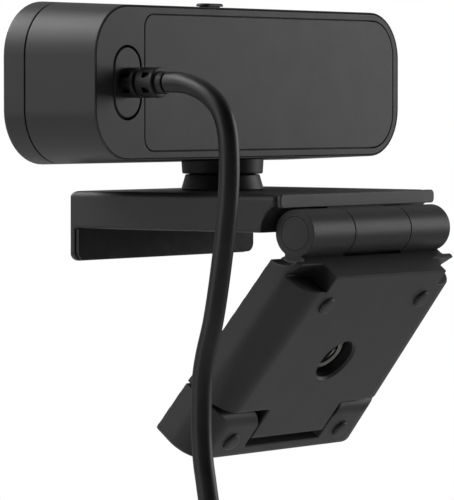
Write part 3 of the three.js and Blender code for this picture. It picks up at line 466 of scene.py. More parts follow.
def right_angle(steps):
    """The sine and cosine at even steps from 0 to 90 degrees."""
    angles = [math.pi / 2 * i / steps for i in range(steps + 1)]
    return [(math.sin(a), math.cos(a)) for a in angles]


def bar(axis, radius, start, end, u=0, v=0, sides=64, edge=0.0, end_radius=None):
    """A round bar whose ends are rounded by edge."""
    far = radius if end_radius is None else end_radius
    turn = right_angle(5) if edge else [(0, 1)]
    profile = [(radius - edge + edge * s, start + edge - edge * c) for s, c in turn]
    profile += [(far - edge + edge * s, end - edge + edge * c) for s, c in reversed(turn)]
    return turned(axis, profile, u, v, sides)


def quarter_arc(u, v, radius, quarter, steps=8):
    """Points on one quarter of a circle; quarter 0 starts on the u side and turns towards v."""
    angles = [(quarter + i / steps) * math.pi / 2 for i in range(steps + 1)]
    return [(u + radius * math.cos(a), v + radius * math.sin(a)) for a in angles]


def rounded(u0, u1, v0, v1, corner, low=None, steps=ARC):
    """A rounded rectangle, counterclockwise; its low u side can have its own corners."""
    low = corner if low is None else low
    points = []
    quarters = ((u1 - corner, v1 - corner, corner), (u0 + low, v1 - low, low),
                (u0 + low, v0 + low, low), (u1 - corner, v0 + corner, corner))
    for quarter, (u, v, radius) in enumerate(quarters):
        points += quarter_arc(u, v, radius, quarter, steps)
    return points


def centred(u, v, wide, tall, corner, ease=1.0):
    """The outline of a rounded rectangle round u, v, as a function of its inset."""
    return lambda inset: rounded(u - wide / 2 + inset, u + wide / 2 - inset, v - tall / 2 + inset,
                                 v + tall / 2 - inset, corner - ease * inset)


def stadium(u, v, wide, tall):
    return centred(u, v, wide, tall, min(wide, tall) / 2 - 0.001)


def across(axis, points, at):
    """Outline points set across an axis at a place along it."""
    if axis == "y":
        return [(u, at, v) for u, v in points]
    if axis == "x":
        return [(at, u, v) for u, v in points]
    return [(u, v, at) for u, v in points]


def eased(start, end, first, last, steps=5):
    """[along, inset] stations of a slab whose two faces have edges rounded by first and last."""
    side = 1 if end > start else -1
    turn = right_angle(steps)
    return ([(start + side * first * (1 - c), first * (1 - s)) for s, c in turn]
            + [(end - side * last * (1 - c), last * (1 - s)) for s, c in reversed(turn)])


def slab(axis, outline, start, end, first, last):
    """A slab with rounded edges; outline(inset) gives its points."""
    return loft([across(axis, outline(inset), along) for along, inset in eased(start, end, first, last)])


def moulded(made, rounds, share):
    """Softens every edge of a solid, as a moulded or rubber part has."""
    step = made.modifiers.new("step", "REMESH")
    step.mode, step.voxel_size, step.use_smooth_shade = "VOXEL", MOULD_VOXEL, True
    settle(made)
    step = made.modifiers.new("step", "SMOOTH")
    step.factor, step.iterations = 0.5, rounds
    settle(made)
    step = made.modifiers.new("step", "DECIMATE")
    step.ratio = share
    return settle(made)


def turned_to_rest(made, back=False):
    """Moves an arm piece from the arm's own frame to the rest pose, or back."""
    place = Matrix.Translation((0, HINGE_Y, HINGE_Z)) @ Matrix.Rotation(ARM_OPEN, 4, "X")
    made.data.transform(place.inverted() if back else place)
    return made


def both_sides(inner, outer):
    """The spans from inner to outer on each side of the middle, low end first."""
    return (-outer, -inner), (inner, outer)


def at_rest(made):
    """A tool drawn upright round the hinge axis, turned into the arm's own frame."""
    made.data.transform(Matrix.Rotation(-ARM_OPEN, 4, "X"))
    return made


def piece(name, made, body, slot, surface, nodes=(), sharp=38, weigh=True):
    """Names and scales a finished solid, shades it, and ties it to its body. The slot argument is not used.
    """
    made.name = name
    made.data.name = name
    made.data.transform(Matrix.Scale(MM, 4))
    made.data.materials.clear()
    made.data.materials.append(surface)
    made.data.shade_smooth()
    made.data.set_sharp_from_angle(angle=math.radians(sharp))
    if weigh:
        step = made.modifiers.new("normals", "WEIGHTED_NORMAL")
        step.keep_sharp, step.weight = True, 100
        settle(made)
    if body:
        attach(made, body)
    if nodes:
        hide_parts(*nodes)
    return made


# ---- cord: lead, stored coil and tail in one length ----

ROUTE = [
    (RELIEF_END + GAP, 29.8), (23.1, 29.6), (28.1, 27.9), (31.8, 24.7), (33.6, 20.4), (34.1, 14.6),
    (33.9, 7.8), (33.3, 2.0), (32.5, -3.7), (31.3, -11.0), (30.0, -17.4), (28.4, -23.0), (27.5, -27.5),
    (27.2, -32.5), (27.2, -38.5), (27.6, -44.1), (28.5, -49.5), (29.4, -55.5), (29.0, -62.5),
    (26.8, -68.6), (21.3, -73.8),
]
TURN_STEPS = 40


def smooth_step(value):
    value = min(max(value, 0), 1)
    return value * value * (3 - 2 * value)


def coil_point(angle):
    """The stored coil's centreline, at an angle in degrees from the top of its first turn.

    Columns of three turns lie side by side, wound inwards, outwards and inwards. Each change of layer
    or column has a stretch of its own in the turn, so that no turn crosses another."""
    turn, part = divmod(angle, 360)
    layers = [1, 0, -1, -1, 0, 1, 1, 0, -1]
    turn = min(int(turn), 8)
    column = turn // 3
    radius = COIL_MEAN_R + COIL_PITCH * layers[turn]
    x = COIL_X + COIL_PITCH * (1 - column)
    layer_start = {0: 320, 1: 240, 2: 160}[column]
    if turn in (2, 5):
        x -= COIL_PITCH * smooth_step((part - {2: 280, 5: 200}[turn]) / 40)
    elif turn < 8:
        step = layers[turn + 1] - layers[turn]
        radius += COIL_PITCH * step * smooth_step((part - layer_start) / 40)
    else:
        x += (TAIL_X - x) * smooth_step((part - 5) / 80)
    a = math.radians(part)
    return Vector((x, COIL_Y - radius * math.sin(a), COIL_Z + radius * math.cos(a)))


def curved(points, steps):
    """A smooth curve through the points, with that many steps for each stretch."""
    out = []
    for i in range(len(points) - 1):
        a, b = points[max(i - 1, 0)], points[i]
        c, d = points[i + 1], points[min(i + 2, len(points) - 1)]
        for k in range(steps):
            t = k / steps
            out.append(0.5 * (2 * b + (c - a) * t + (2 * a - 5 * b + 4 * c - d) * t ** 2
                              + (3 * b - a - 3 * c + d) * t ** 3))
    out.append(points[-1])
    return out


def tube(path, radius, sides=16):
    """A round tube along a path, with closed ends."""
    rings = []
    normal = None
    for i, point in enumerate(path):
        along = (path[min(i + 1, len(path) - 1)] - path[max(i - 1, 0)]).normalized()
        if normal is None:
            normal = along.orthogonal().normalized()
        normal = (normal - along * normal.dot(along)).normalized()
        other = along.cross(normal)
        rings.append([point + radius * (normal * math.cos(2 * math.pi * k / sides)
                                        + other * math.sin(2 * math.pi * k / sides)) for k in range(sides)])
    return loft(rings)


lead = [Vector((CORD_X, y, z)) for y, z in ROUTE]
turns = [coil_point(360 * i / TURN_STEPS) for i in range(0, int(8.25 * TURN_STEPS) + 1)]
tail = [Vector((TAIL_X, TAIL_Y, COIL_Z - d)) for d in range(3, TAIL_DROP + 1, 3)]
cord_path = curved(lead + turns[:3], 4)[:-4 * 2] + turns[1:] + tail
cord_line = [p * MM for p in cord_path]
cord_length = sum((b - a).length for a, b in zip(cord_line, cord_line[1:]))
print("cord length", round(cord_length, 4))
cord = piece("cord", tube(cord_path, CORD_R), None, "cord", cord_sheath,
             ["cord_lead", "cord_coil", "cord_tail"], sharp=60, weigh=False)
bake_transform(cord)


# ---- camera head ----


def head_outline(y, inset=0.0):
    grow = HEAD_DRAFT * (HEAD_BACK - y) / HEAD_DEPTH - inset
    half, tall = HEAD_WIDTH / 2 + grow, HEAD_TALL / 2 + grow
    return rounded(-half, half, HEAD_MID - tall, HEAD_MID + tall, max(HEAD_CORNER + grow, 0.5))


def head_ring(y, inset):
    return across("y", head_outline(y, inset), y)


def head_block(y0, y1, inset):
    return loft([head_ring(y0, inset), head_ring(y1, inset)])


def head_top(y):
    return HEAD_BOTTOM + HEAD_TALL + HEAD_DRAFT * (HEAD_BACK - y) / HEAD_DEPTH


def rear_panel_outline(inset):
    return rounded(PANEL_FROM + inset, PANEL_TO - inset, HEAD_BOTTOM + PANEL_MARGIN + inset,
                   HEAD_BOTTOM + HEAD_TALL - PANEL_MARGIN - inset, 2.8 - inset, 7.8 - inset)


def neck_screw_holes():
    return [bar("z", NECK_SCREW_R + GAP, 5, 20, side * NECK_SCREW_X, sides=24) for side in (-1, 1)]


def main_shell():
    f = SLEEVE_FRONT
    outside = [(f, 0.14), (f + 0.04, 0.04), (f + 0.14, 0), (f + 5, 0), (f + 11, 0), (HEAD_BACK - 0.3, 0),
               (HEAD_BACK - 0.12, 0.02), (HEAD_BACK - 0.04, 0.07), (HEAD_BACK - 0.01, 0.13)]
    inside = [(HEAD_BACK - 0.03, RIM - 0.03), (HEAD_BACK - 0.1, RIM), (COVER_FRONT - GAP, RIM),
              (COVER_FRONT - GAP, WALL), (f, WALL)]
    body = loft([head_ring(y, inset) for y, inset in outside + inside], closed=True)
    slot_half = KNOB_WIDE / 2 - 0.5 + GAP
    tools = [block(-SHUTTER_TRAVEL - 2 - GAP, 2 + GAP, SHUTTER_Y - slot_half, SHUTTER_Y + slot_half,
                   HEAD_MID + 5, HEAD_MID + 30), bar("z", POST_R + GAP, 5, 20)]
    cut(body, *tools, *neck_screw_holes())
    for x in COVER_SCREW_X:
        boss = common(block(x - 3, x + 3, 0, COVER_FRONT - GAP, HEAD_BOTTOM, HEAD_BOTTOM + 8.2),
                      head_block(f, COVER_FRONT - GAP, WALL / 2))
        join(body, cut(boss, bar("y", 1.2, 1.55, HEAD_BACK, x, COVER_SCREW_Z, 24)))
    for x in (-33, 33):
        join(body, common(block(x - 3, x + 3, -1, 1.7, HEAD_MID + 8, HEAD_MID + 20),
                          head_block(f, COVER_FRONT - GAP, WALL / 2)))
    return body


def front_bezel():
    f, b = HEAD_FRONT, BEZEL_BACK - GAP / 2
    stations = [(RECESS_FLOOR, 2.4), (f + 0.25, 2.4), (f + 0.08, 2.34), (f, 2.2)]
    stations += [(f + BEZEL_ROUND * (1 - c), BEZEL_ROUND * (1 - s)) for s, c in right_angle(7)]
    stations += [(f + 3, 0), (b - 0.18, 0), (b - 0.05, 0.05), (b, 0.18), (b, WALL), (WALL_BACK, WALL)]
    body = loft([head_ring(y, inset) for y, inset in stations])
    tools = [bar("y", WINDOW_R, f - 2, WALL_BACK + 1, 0, HEAD_MID, 96),
             bar("y", LED_R + GAP, f - 2, WALL_BACK + 1, LED_X, HEAD_MID, 32)]
    for side in (-1, 1):
        tools.append(bar("y", 0.5, f - 1, WALL_BACK + 1, side * MIC_X, HEAD_MID, 24))
    cut(body, *tools)
    for side in (-1, 1):
        join(body, bar("y", 1.5, WALL_BACK - 0.5, SENSOR_BOARD_Y - GAP, side * 6, HEAD_MID - 8.5, 32))
    return body


def rear_cover():
    outline = lambda inset: head_outline(HEAD_BACK, RIM + SEAM + inset)
    body = slab("y", outline, COVER_FRONT, HEAD_BACK, 0.05, 0.12)
    mouth = [(PANEL_FLOOR, 0), (HEAD_BACK - 0.1, 0), (HEAD_BACK - 0.03, -0.03), (HEAD_BACK + 0.03, -0.1),
             (HEAD_BACK + 1, -0.1)]
    panel = loft([across("y", rear_panel_outline(inset), y) for y, inset in mouth])
    plate = stadium(CORD_X, HEAD_MID, CABLE_PLATE_WIDE + 2 * GAP, CABLE_PLATE_TALL + 2 * GAP)
    hole = loft([across("y", plate(0), COVER_FRONT - 1), across("y", plate(0), HEAD_BACK - 0.2),
                 across("y", plate(-0.15), HEAD_BACK + 0.05), across("y", plate(-0.15), HEAD_BACK + 1)])
    tools = [panel, hole]
    for x in COVER_SCREW_X:
        tools += [bar("y", 1.2, COVER_FRONT - 1, HEAD_BACK, x, COVER_SCREW_Z, 32),
                  bar("y", 2.1, PANEL_FLOOR - 0.5, HEAD_BACK, x, COVER_SCREW_Z, 32)]
    return cut(body, *tools)


def cable_plate():
    outline = stadium(CORD_X, HEAD_MID, CABLE_PLATE_WIDE, CABLE_PLATE_TALL)
    return cut(slab("y", outline, COVER_FRONT - 1, HEAD_BACK, 0.05, 0.35),
               bar("y", RELIEF_R - 0.8 + GAP, 0, 20, CORD_X, HEAD_MID))


def strain_relief():
    """Two slotted rings on a core that ends in a collar, each ring with soft edges."""
    core = RELIEF_R - 0.8
    profile = [(core, COVER_FRONT - 1.5)]
    for start, end in RELIEF_RINGS:
        profile += [(core, start)]
        profile += [(RELIEF_R - 0.3 + 0.3 * math.sin(a), start + 0.3 - 0.3 * math.cos(a))
                    for a in (0, 0.5, 1.05, math.pi / 2)]
        profile += [(RELIEF_R - 0.3 + 0.3 * math.sin(a), end - 0.3 + 0.3 * math.cos(a))
                    for a in (math.pi / 2, 1.05, 0.5, 0)]
        profile += [(core, end)]
    profile += [(core, RELIEF_END - 0.3), (core - 0.1, RELIEF_END - 0.08), (core - 0.3, RELIEF_END)]
    body = turned("y", profile, CORD_X, HEAD_MID)
    for start, end in RELIEF_RINGS:
        middle, half = end - 1.75, 0.85
        for i in range(3):
            slot = block(-1.1 * RELIEF_R, 1.1 * RELIEF_R, -half, half, -0.6, 0.6)
            slot.data.transform(Matrix.Translation((CORD_X, middle, HEAD_MID))
                                @ Matrix.Rotation((i + 0.5) * math.pi / 3, 4, "Y"))
            cut(body, cut(slot, bar("y", core, start - 1, end + 1, CORD_X, HEAD_MID)))
    return body


def shutter_knob():
    bottom = head_top(SHUTTER_Y - KNOB_WIDE / 2) + 0.07
    outline = centred(0, SHUTTER_Y, KNOB_LONG, KNOB_WIDE, KNOB_WIDE / 2 - 0.01)
    cap = slab("z", outline, bottom, bottom + 0.6, 0.05, 0.4)
    cut(cap, *[block(x - 0.15, x + 0.15, SHUTTER_Y - 1, SHUTTER_Y + 1, bottom + 0.42, bottom + 2)
               for x in (-1.2, -0.4, 0.4, 1.2)])
    half = KNOB_WIDE / 2 - 0.5
    stem = block(-2, 2, SHUTTER_Y - half, SHUTTER_Y + half, head_top(SHUTTER_Y) - WALL - 0.3, bottom + 0.1)
    return join(cap, stem)


def shutter_blade():
    right, left = SHUTTER_TRAVEL - LENS_R - 1.2, SHUTTER_TRAVEL + LENS_R + 1.2
    top = head_top(SHUTTER_Y) - WALL - 0.6
    outline = lambda inset: rounded(right + inset, left - inset, HEAD_MID - 6.5 + inset, top - inset, 0.6)
    return join(slab("y", outline, BLADE_FRONT, BLADE_FRONT + BLADE_THICK, 0.08, 0.08),
                block(-2.5, left, BLADE_FRONT + 0.1, SHUTTER_Y + 1.6, top - BLADE_THICK, top))


def lens_ring():
    y, r = RECESS_FLOOR + 0.1, WINDOW_R - GAP
    profile = [(LENS_R + 1.3, y + 0.1), (LENS_R + 1.6, y), (r - 0.4, y), (r - 0.12, y + 0.06), (r, y + 0.25),
               (r, WALL_BACK), (LENS_R + 2, WALL_BACK), (LENS_R + 1.7, y + 0.8), (LENS_R + 1.45, y + 0.7),
               (LENS_R + 1.45, y + 0.45), (LENS_R + 1.2, y + 0.35)]
    return turned("y", profile, 0, HEAD_MID, 96, closed=True)


def lens_barrel():
    """The lens barrel, stepped inwards round the front element."""
    y, r = LENS_FRONT, LENS_R
    profile = [(r - 0.25, y), (r - 0.06, y + 0.06), (r, y + 0.25), (r, y + 5.6), (r - 0.7, y + 5.6),
               (r - 0.7, y + 1.3), (r - 1.1, y + 1.3), (r - 1.1, y + 0.95), (r - 0.9, y + 0.9),
               (r - 0.9, y + 0.6), (r - 0.65, y + 0.55), (r - 0.65, y + 0.25), (r - 0.45, y + 0.2),
               (r - 0.4, y)]
    return turned("y", profile, 0, HEAD_MID, 72, closed=True)


def lens_glass():
    profile = [(0.001, LENS_FRONT + 1.4)]
    for i in range(1, 9):
        r = (LENS_R - 1.2) * i / 8
        profile.append((r, LENS_FRONT + 1.4 + 0.75 * (r / (LENS_R - 1.2)) ** 2))
    rim, back = LENS_R - 1.0, LENS_FRONT + 3.2
    profile += [(rim, LENS_FRONT + 2.25), (rim, back), (0.001, back)]
    return turned("y", profile, 0, HEAD_MID, 72)


piece("front_bezel_skin", front_bezel(), "head", "shell", shell_grey, ["front_bezel"])
piece("front_window", slab("y", lambda inset: head_outline(HEAD_FRONT, 2.7 + inset), HEAD_FRONT - 0.3,
                           HEAD_FRONT + 0.9, 0.45, 0.1), "head", "front_glass", smoked_glass, ["front_glass"])
piece("lens_trim", lens_ring(), "head", "black_plastic", gloss_black, ["lens_ring"])
piece("lens_tube", lens_barrel(), "head", "black_plastic", inner_black, ["lens_barrel"])
piece("lens_element", lens_glass(), "head", "lens_glass", coated_glass, ["lens_glass"])
piece("main_shell_skin", main_shell(), "head", "shell", shell_grey, ["main_shell"])
piece("rear_cover_skin", rear_cover(), "head", "panel", panel_grey, ["rear_cover"])
piece("rear_panel_skin", slab("y", lambda inset: rear_panel_outline(PANEL_SEAM + inset), PANEL_FLOOR + GAP,
                              HEAD_BACK, 0.05, 0.12), "head", "panel", panel_grey, ["rear_panel"])
piece("cable_plate_skin", cable_plate(), "head", "shell", shell_grey, ["cable_plate"])
piece("strain_relief_skin", strain_relief(), "head", "rubber", relief_rubber, ["strain_relief"])
piece("shutter_button", shutter_knob(), "shutter", "shell", shell_grey, ["shutter_knob"])
piece("shutter_leaf", shutter_blade(), "shutter", "black_plastic", inner_black, ["shutter_blade"])

# ---- neck ----


def neck_drum():
    """The cap under the head. Its top follows the head's underside, which rises towards the back."""
    def under_head(y):
        return HEAD_BOTTOM - HEAD_DRAFT * (HEAD_BACK - y) / HEAD_DEPTH - 0.05
    sides = 96
    stations = [(DRUM_R - 0.15 - 0.35 * (1 - s), DRUM_BOTTOM + 0.35 * (1 - c)) for s, c in right_angle(5)]
    rings = [[(r * math.cos(2 * math.pi * k / sides), r * math.sin(2 * math.pi * k / sides), z)
              for k in range(sides)] for r, z in stations]
    for radius, lower in ((DRUM_R, 0.15), (DRUM_R - 0.15, 0)):
        ring = []
        for k in range(sides):
            a = 2 * math.pi * k / sides
            y = radius * math.sin(a)
            ring.append((radius * math.cos(a), y, under_head(y) - lower))
        rings.append(ring)
    body = loft(rings)
    return cut(body, bar("z", DRUM_R - 0.7, DRUM_BOTTOM - 1, DRUM_BOTTOM + 2.1, sides=96),
               bar("z", POST_R + GAP, 0, 20), *neck_screw_holes())


def swivel_cone():
    """The cone under the drum, with a raised middle that closes the line of sight between them."""
    low, top = PLATE_TOP + 0.05, DRUM_BOTTOM - 0.15
    profile = [(HUB_R, 2.8), (HUB_R, low), (DRUM_R - 0.15, low), (DRUM_R, low + 0.15),
               (CONE_TOP_R + 0.03, top - 0.25), (CONE_TOP_R - 0.08, top - 0.05), (CONE_TOP_R - 0.25, top),
               (5.2, top), (5.0, top + 0.6)]
    return cut(turned("z", profile, sides=96), block(-2.5, 2.5, -3.3, 3.3, PLATE_TOP - 2.6 - GAP, top + 2),
               bar("x", 1.35, -7.1, 7.1, 0, PLATE_TOP, 32))


piece("neck_drum_skin", neck_drum(), "head", "shell", shell_grey, ["neck_drum"])
piece("swivel_cone_skin", swivel_cone(), "neck", "shell", shell_grey, ["swivel_cone"])

# ---- coil tie and plug ----


def coil_tie():
    """A soft band round the bundle of turns."""
    middle = COIL_Y + COIL_MEAN_R
    bow = TIE_HALF ** 2 / (2 * COIL_MEAN_R)

    def band(extra, corner):
        return rounded(COIL_X - COIL_HALF - extra, COIL_X + COIL_HALF + extra,
                       middle - COIL_HALF - bow - extra, middle + COIL_HALF + extra, corner)
    edge = TIE_HALF - 0.3
    profile = ((TIE_THICK - 0.25, 2.6, -TIE_HALF), (TIE_THICK, 2.6, -edge), (TIE_THICK, 2.6, edge),
               (TIE_THICK - 0.25, 2.6, TIE_HALF), (0.55, 2.0, TIE_HALF), (GAP, 1.8, edge),
               (GAP, 1.8, -edge), (0.55, 2.0, -TIE_HALF))
    rings = [across("z", band(extra, corner), COIL_Z + z) for extra, corner, z in profile]
    return loft(rings, closed=True)


def plug_body():
    """The plug's overmould with grip grooves, and a ringed bend relief."""
    top = PLUG_TOP - PLUG_NUB
    outline = centred(TAIL_X, TAIL_Y, PLUG_THICK, PLUG_WIDE, 2.2)
    body = slab("z", outline, top - PLUG_LONG, top, 0.5, 1.2)
    grooves = []
    for i in range(5):
        z = top - 6 - i * 2.2
        for side in (-1, 1):
            grooves.append(block(TAIL_X - 2.6, TAIL_X + 2.6, TAIL_Y + side * (PLUG_WIDE / 2) - 0.35,
                                 TAIL_Y + side * (PLUG_WIDE / 2) + 0.35, z - 0.45, z + 0.45))
    cut(body, *grooves)
    profile = [(3.6, top - 0.5)]
    for i in range(4):
        z, r = top + 0.3 + 1.9 * i, 3.55 - 0.22 * i
        profile += [(r, z), (r, z + 1.15), (r - 0.45, z + 1.3), (r - 0.45, z + 1.75)]
    profile += [(2.75, PLUG_TOP - 0.15), (2.45, PLUG_TOP)]
    return join(body, turned("z", profile, TAIL_X, TAIL_Y, 48))


def plug_shell():
    top = PLUG_FACE - GAP
    outline = centred(TAIL_X, TAIL_Y, SHELL_THICK, SHELL_WIDE, 0.7, 0.6)
    body = slab("z", outline, top - SHELL_LONG, top, 0.12, 0.05)
    inner = outline(SHELL_WALL)
    tools = [loft([across("z", inner, top - SHELL_LONG - 1), across("z", inner, top - 1)])]
    for side in (-1, 1):
        for y in (TAIL_Y - 3, TAIL_Y + 3):
            x = TAIL_X + side * SHELL_THICK / 2
            tools.append(block(x - 0.4, x + 0.4, y - 1.2, y + 1.2, top - 8, top - 5.6))
    return cut(body, *tools)


def plug_tongue():
    top = PLUG_FACE - 2 * GAP - 1
    face = TAIL_X + SHELL_THICK / 2 - SHELL_WALL - GAP
    outline = lambda inset: rounded(face - 1.4 + inset, face - inset, TAIL_Y - 5 + inset,
                                    TAIL_Y + 5 - inset, 0.25)
    return slab("z", outline, top - SHELL_LONG + 2.5, top, 0.15, 0.05)


def plug_contacts():
    top = PLUG_FACE - 2 * GAP - 1
    face = TAIL_X + SHELL_THICK / 2 - SHELL_WALL - GAP - 1.4
    strips = []
    for y in (TAIL_Y - 3.5, TAIL_Y - 1.15, TAIL_Y + 1.15, TAIL_Y + 3.5):
        outline = lambda inset: rounded(face - 0.06 + inset / 9, face + 0.1, y - 0.5, y + 0.5, 0.05, steps=3)
        strips.append(slab("z", outline, top - 8.6, top - 1, 0.03, 0.03))
    return join(*strips)


plug_pieces = [
    piece("plug_grip", plug_body(), "neck", "black_plastic", inner_black, ["plug_body"]),
    piece("plug_metal", plug_shell(), "neck", "steel", plated_steel, ["plug_shell"]),
    piece("plug_insert", plug_tongue(), "neck", "black_plastic", inner_black, ["plug_tongue"]),
    piece("plug_contacts", plug_contacts(), "neck", "steel", gold),
    piece("coil_band", coil_tie(), "neck", "black_plastic", relief_rubber, ["coil_tie"]),
]

# ---- clip ----


def plate_half(y):
    share = (PLATE_BACK - y) / (PLATE_BACK - PLATE_FRONT)
    return PLATE_BACK_HALF + (PLATE_FRONT_HALF - PLATE_BACK_HALF) * share


def plate_outline(y0, y1, inset, corner):
    """The plate's trapezoid outline between two depths."""
    points = []
    for side, y, quarter in ((1, y1, 0), (-1, y1, 1), (-1, y0, 2), (1, y0, 3)):
        inward = -1 if y == y1 else 1
        cy = y + inward * (inset + corner)
        points += quarter_arc(side * (plate_half(cy) - inset - corner), cy, corner, quarter)
    return points


def clip_plate():
    back = PLATE_BACK - CAP_THICK - GAP
    levels = [(0, 0.3), (0.12, 0.1), (0.4, 0)]
    levels += [(PLATE_TOP - PLATE_ROUND + PLATE_ROUND * s, PLATE_ROUND * (1 - c)) for s, c in right_angle(8)]
    body = loft([across("z", plate_outline(PLATE_FRONT, back, inset, PLATE_CORNER), z)
                 for z, inset in levels])
    cavity = plate_outline(LIP_BACK + GAP, HINGE_Y - RECESS_R - WALL, WALL, 1)
    cut(body, loft([across("z", cavity, -20), across("z", cavity, TOP_WALL_UNDER)]))
    half = plate_half(PLATE_FRONT)
    lip = lambda inset: rounded(-half + inset, half - inset, LIP_BOTTOM + inset, PLATE_TOP - 3,
                                2.2 - inset * 0.5)
    footprint = plate_outline(PLATE_FRONT, back, 0, PLATE_CORNER)
    join(body, common(slab("y", lip, PLATE_FRONT, LIP_BACK, 0.6, 0.15),
                      loft([across("z", footprint, LIP_BOTTOM - 1), across("z", footprint, PLATE_TOP)])))
    return cut(body, block(-CENTRE_HALF - GAP, CENTRE_HALF + GAP, 20, 50, BASE_TOP, TOP_WALL_UNDER - 0.2),
               bar("z", HUB_R + GAP, 0, 20), bar("x", SIDE_RECESS_R, -60, 60, HINGE_Y, HINGE_Z, 96),
               block(-4 - GAP, 4 + GAP, PLATE_BACK - CAP_THICK - 3 - GAP, PLATE_BACK,
                     TOP_WALL_UNDER - 0.2, PLATE_TOP - 0.7))


def rear_cap():
    half, y0 = plate_half(PLATE_BACK), PLATE_BACK - CAP_THICK
    outline = lambda inset: rounded(-half + inset, half - inset, CAP_BOTTOM + inset * 0.5,
                                    PLATE_TOP - inset, 0.9)
    body = slab("y", outline, y0, PLATE_BACK, 0.05, 0.28)
    join(body, block(-4, 4, y0 - 3, y0 + 0.1, TOP_WALL_UNDER + 0.15, PLATE_TOP - 1))
    return cut(body, bar("x", RECESS_R, -60, 60, HINGE_Y, HINGE_Z, 96))


def plate_sheet(y0, y1, inset, z0, z1, edge):
    return loft([across("z", plate_outline(y0, y1, inset + extra, 1.2), z)
                 for z, extra in eased(z0, z1, edge, 0.05, 4)])


def lip_pad():
    """The plain pad on the lip's inner side, square at the top and round at its lower corners."""
    half = plate_half(PLATE_FRONT) - 0.3
    bottom, corner = LIP_BOTTOM + 0.2, 1.9

    def outline(inset):
        points = [(half - inset, -0.15), (-half + inset, -0.15)]
        for side, quarter in ((-1, 2), (1, 3)):
            points += quarter_arc(side * (half - corner), bottom + corner, corner - inset, quarter)
        return points
    y0 = LIP_BACK + GAP
    return slab("y", outline, y0, y0 + 0.7, 0.05, 0.15)


def hinge_bracket():
    knuckle = bar("x", BARREL_R, -CENTRE_HALF, CENTRE_HALF, HINGE_Y, HINGE_Z, 128, 0.1)
    tongue = block(-CENTRE_HALF, CENTRE_HALF, 15, PLATE_BACK - CAP_THICK - GAP, BASE_TOP + GAP,
                   TOP_WALL_UNDER - 0.2 - GAP)
    return cut(join(knuckle, tongue), bar("x", PIN_R + GAP, -60, 60, HINGE_Y, HINGE_Z, 32),
               *[bar("z", 1.5, -5, 20, side * 5, 20, 32) for side in (-1, 1)])


piece("clip_plate_skin", moulded(clip_plate(), 2, 0.3), "clip", "shell", shell_grey, ["clip_plate"])
piece("clip_rear_cap_skin", rear_cap(), "clip", "panel", cap_grey, ["clip_rear_cap"])
piece("clip_floor", plate_sheet(LIP_BACK + 2 * GAP, HINGE_Y - RECESS_R - WALL - GAP, WALL + GAP, BASE_BOTTOM,
                                BASE_TOP, 0.2), "clip", "black_plastic", inner_black, ["clip_base"])
piece("seat_rubber", plate_sheet(LIP_BACK + 1, HINGE_Y - RECESS_R - WALL - 1, WALL + 1, 0, 0.7, 0.25),
      "clip", "rubber", soft_rubber, ["seat_pad"])
piece("lip_rubber", lip_pad(), "clip", "rubber", soft_rubber, ["lip_pad"])
piece("hinge_centre", hinge_bracket(), "clip", "shell", shell_grey, ["hinge_bracket"])

# ---- arm and toe, in the arm's own frame: y = -(distance along), z = -(distance outwards) ----


def arm_half(along):
    return ARM_HALF + ARM_FLARE * along


def arm_section(along, inset=0.0, inner=ARM_INNER):
    half, outer, fillet = arm_half(along) - inset, ARM_OUTER - inset, ARM_FILLET - inset
    side = [(half, -along, -inner)]
    side += [(half - fillet * (1 - c), -along, -outer + fillet * (1 - s)) for s, c in right_angle(16)]
    return side + [(-x, y, z) for x, y, z in reversed(side)]


def arm_loft(*stations):
    return loft([arm_section(*station) for station in stations])


def notch(side):
    """A cut at the arm's corner next to the hinge, whose floor slopes along the arm."""
    rise = (NOTCH_END - 1) * NOTCH_SLOPE
    outline = [(-NOTCH_END, -25), (-1, -25), (-1, -NOTCH_FLOOR - rise), (-NOTCH_END, -NOTCH_FLOOR)]
    return loft([across("x", outline, side * NOTCH_X), across("x", outline, side * 34)])


def arm_shell():
    body = arm_loft((-8,), (ARM_END,))
    cut(body, at_rest(block(-40, 40, -30, 30, ARM_SHELF, 30)), block(-40, 40, -ARM_TOP, 30, -40, 30),
        arm_loft((POCKET_START, WALL, -5), (POCKET_END, WALL, -5)), notch(1), notch(-1))
    join(body, bar("z", TRIPOD_BORE_R + 2, -ARM_OUTER + 1, -ARM_INNER - 1.8, 0, -TRIPOD_AT),
         block(-TONGUE_HALF, TONGUE_HALF, -TONGUE_END, -ARM_END + 1, -ARM_OUTER, -2))
    for span in both_sides(CENTRE_HALF + GAP, BARREL_HALF):
        join(body, at_rest(block(*span, -2.6, 1.6, ARM_SHELF - 1, -2.5)))
    for span in both_sides(BARREL_HALF, 40):
        cut(body, bar("x", SIDE_RECESS_R, *span, sides=96))
    cut(body, bar("x", RECESS_R, -CENTRE_HALF - GAP, CENTRE_HALF + GAP, 0, 0, 96),
        bar("z", TRIPOD_BORE_R, -20, -3.8, 0, -TRIPOD_AT, 96),
        bar("x", TOE_PIN_R + GAP, -TONGUE_HALF - 1, TONGUE_HALF + 1, -TOE_PIN_AT, -TOE_PIN_OUT, 32))
    moulded(body, 2, 0.3)
    for span in both_sides(CENTRE_HALF + 0.22, BARREL_HALF):
        join(body, bar("x", BARREL_R, *span, 0, 0, 128, 0.1))
    seats = [bar("x", END_CAP_R + 0.05, *span) for span in both_sides(BARREL_HALF - END_CAP_THICK - GAP, 40)]
    mouth = bar("z", TRIPOD_BORE_R + BORE_CHAMFER * 1.1, -ARM_OUTER - BORE_CHAMFER * 0.1,
                -ARM_OUTER + BORE_CHAMFER, 0, -TRIPOD_AT, 96, end_radius=TRIPOD_BORE_R)
    return cut(body, bar("x", PIN_R + GAP, -60, 60, sides=32), mouth, *seats)


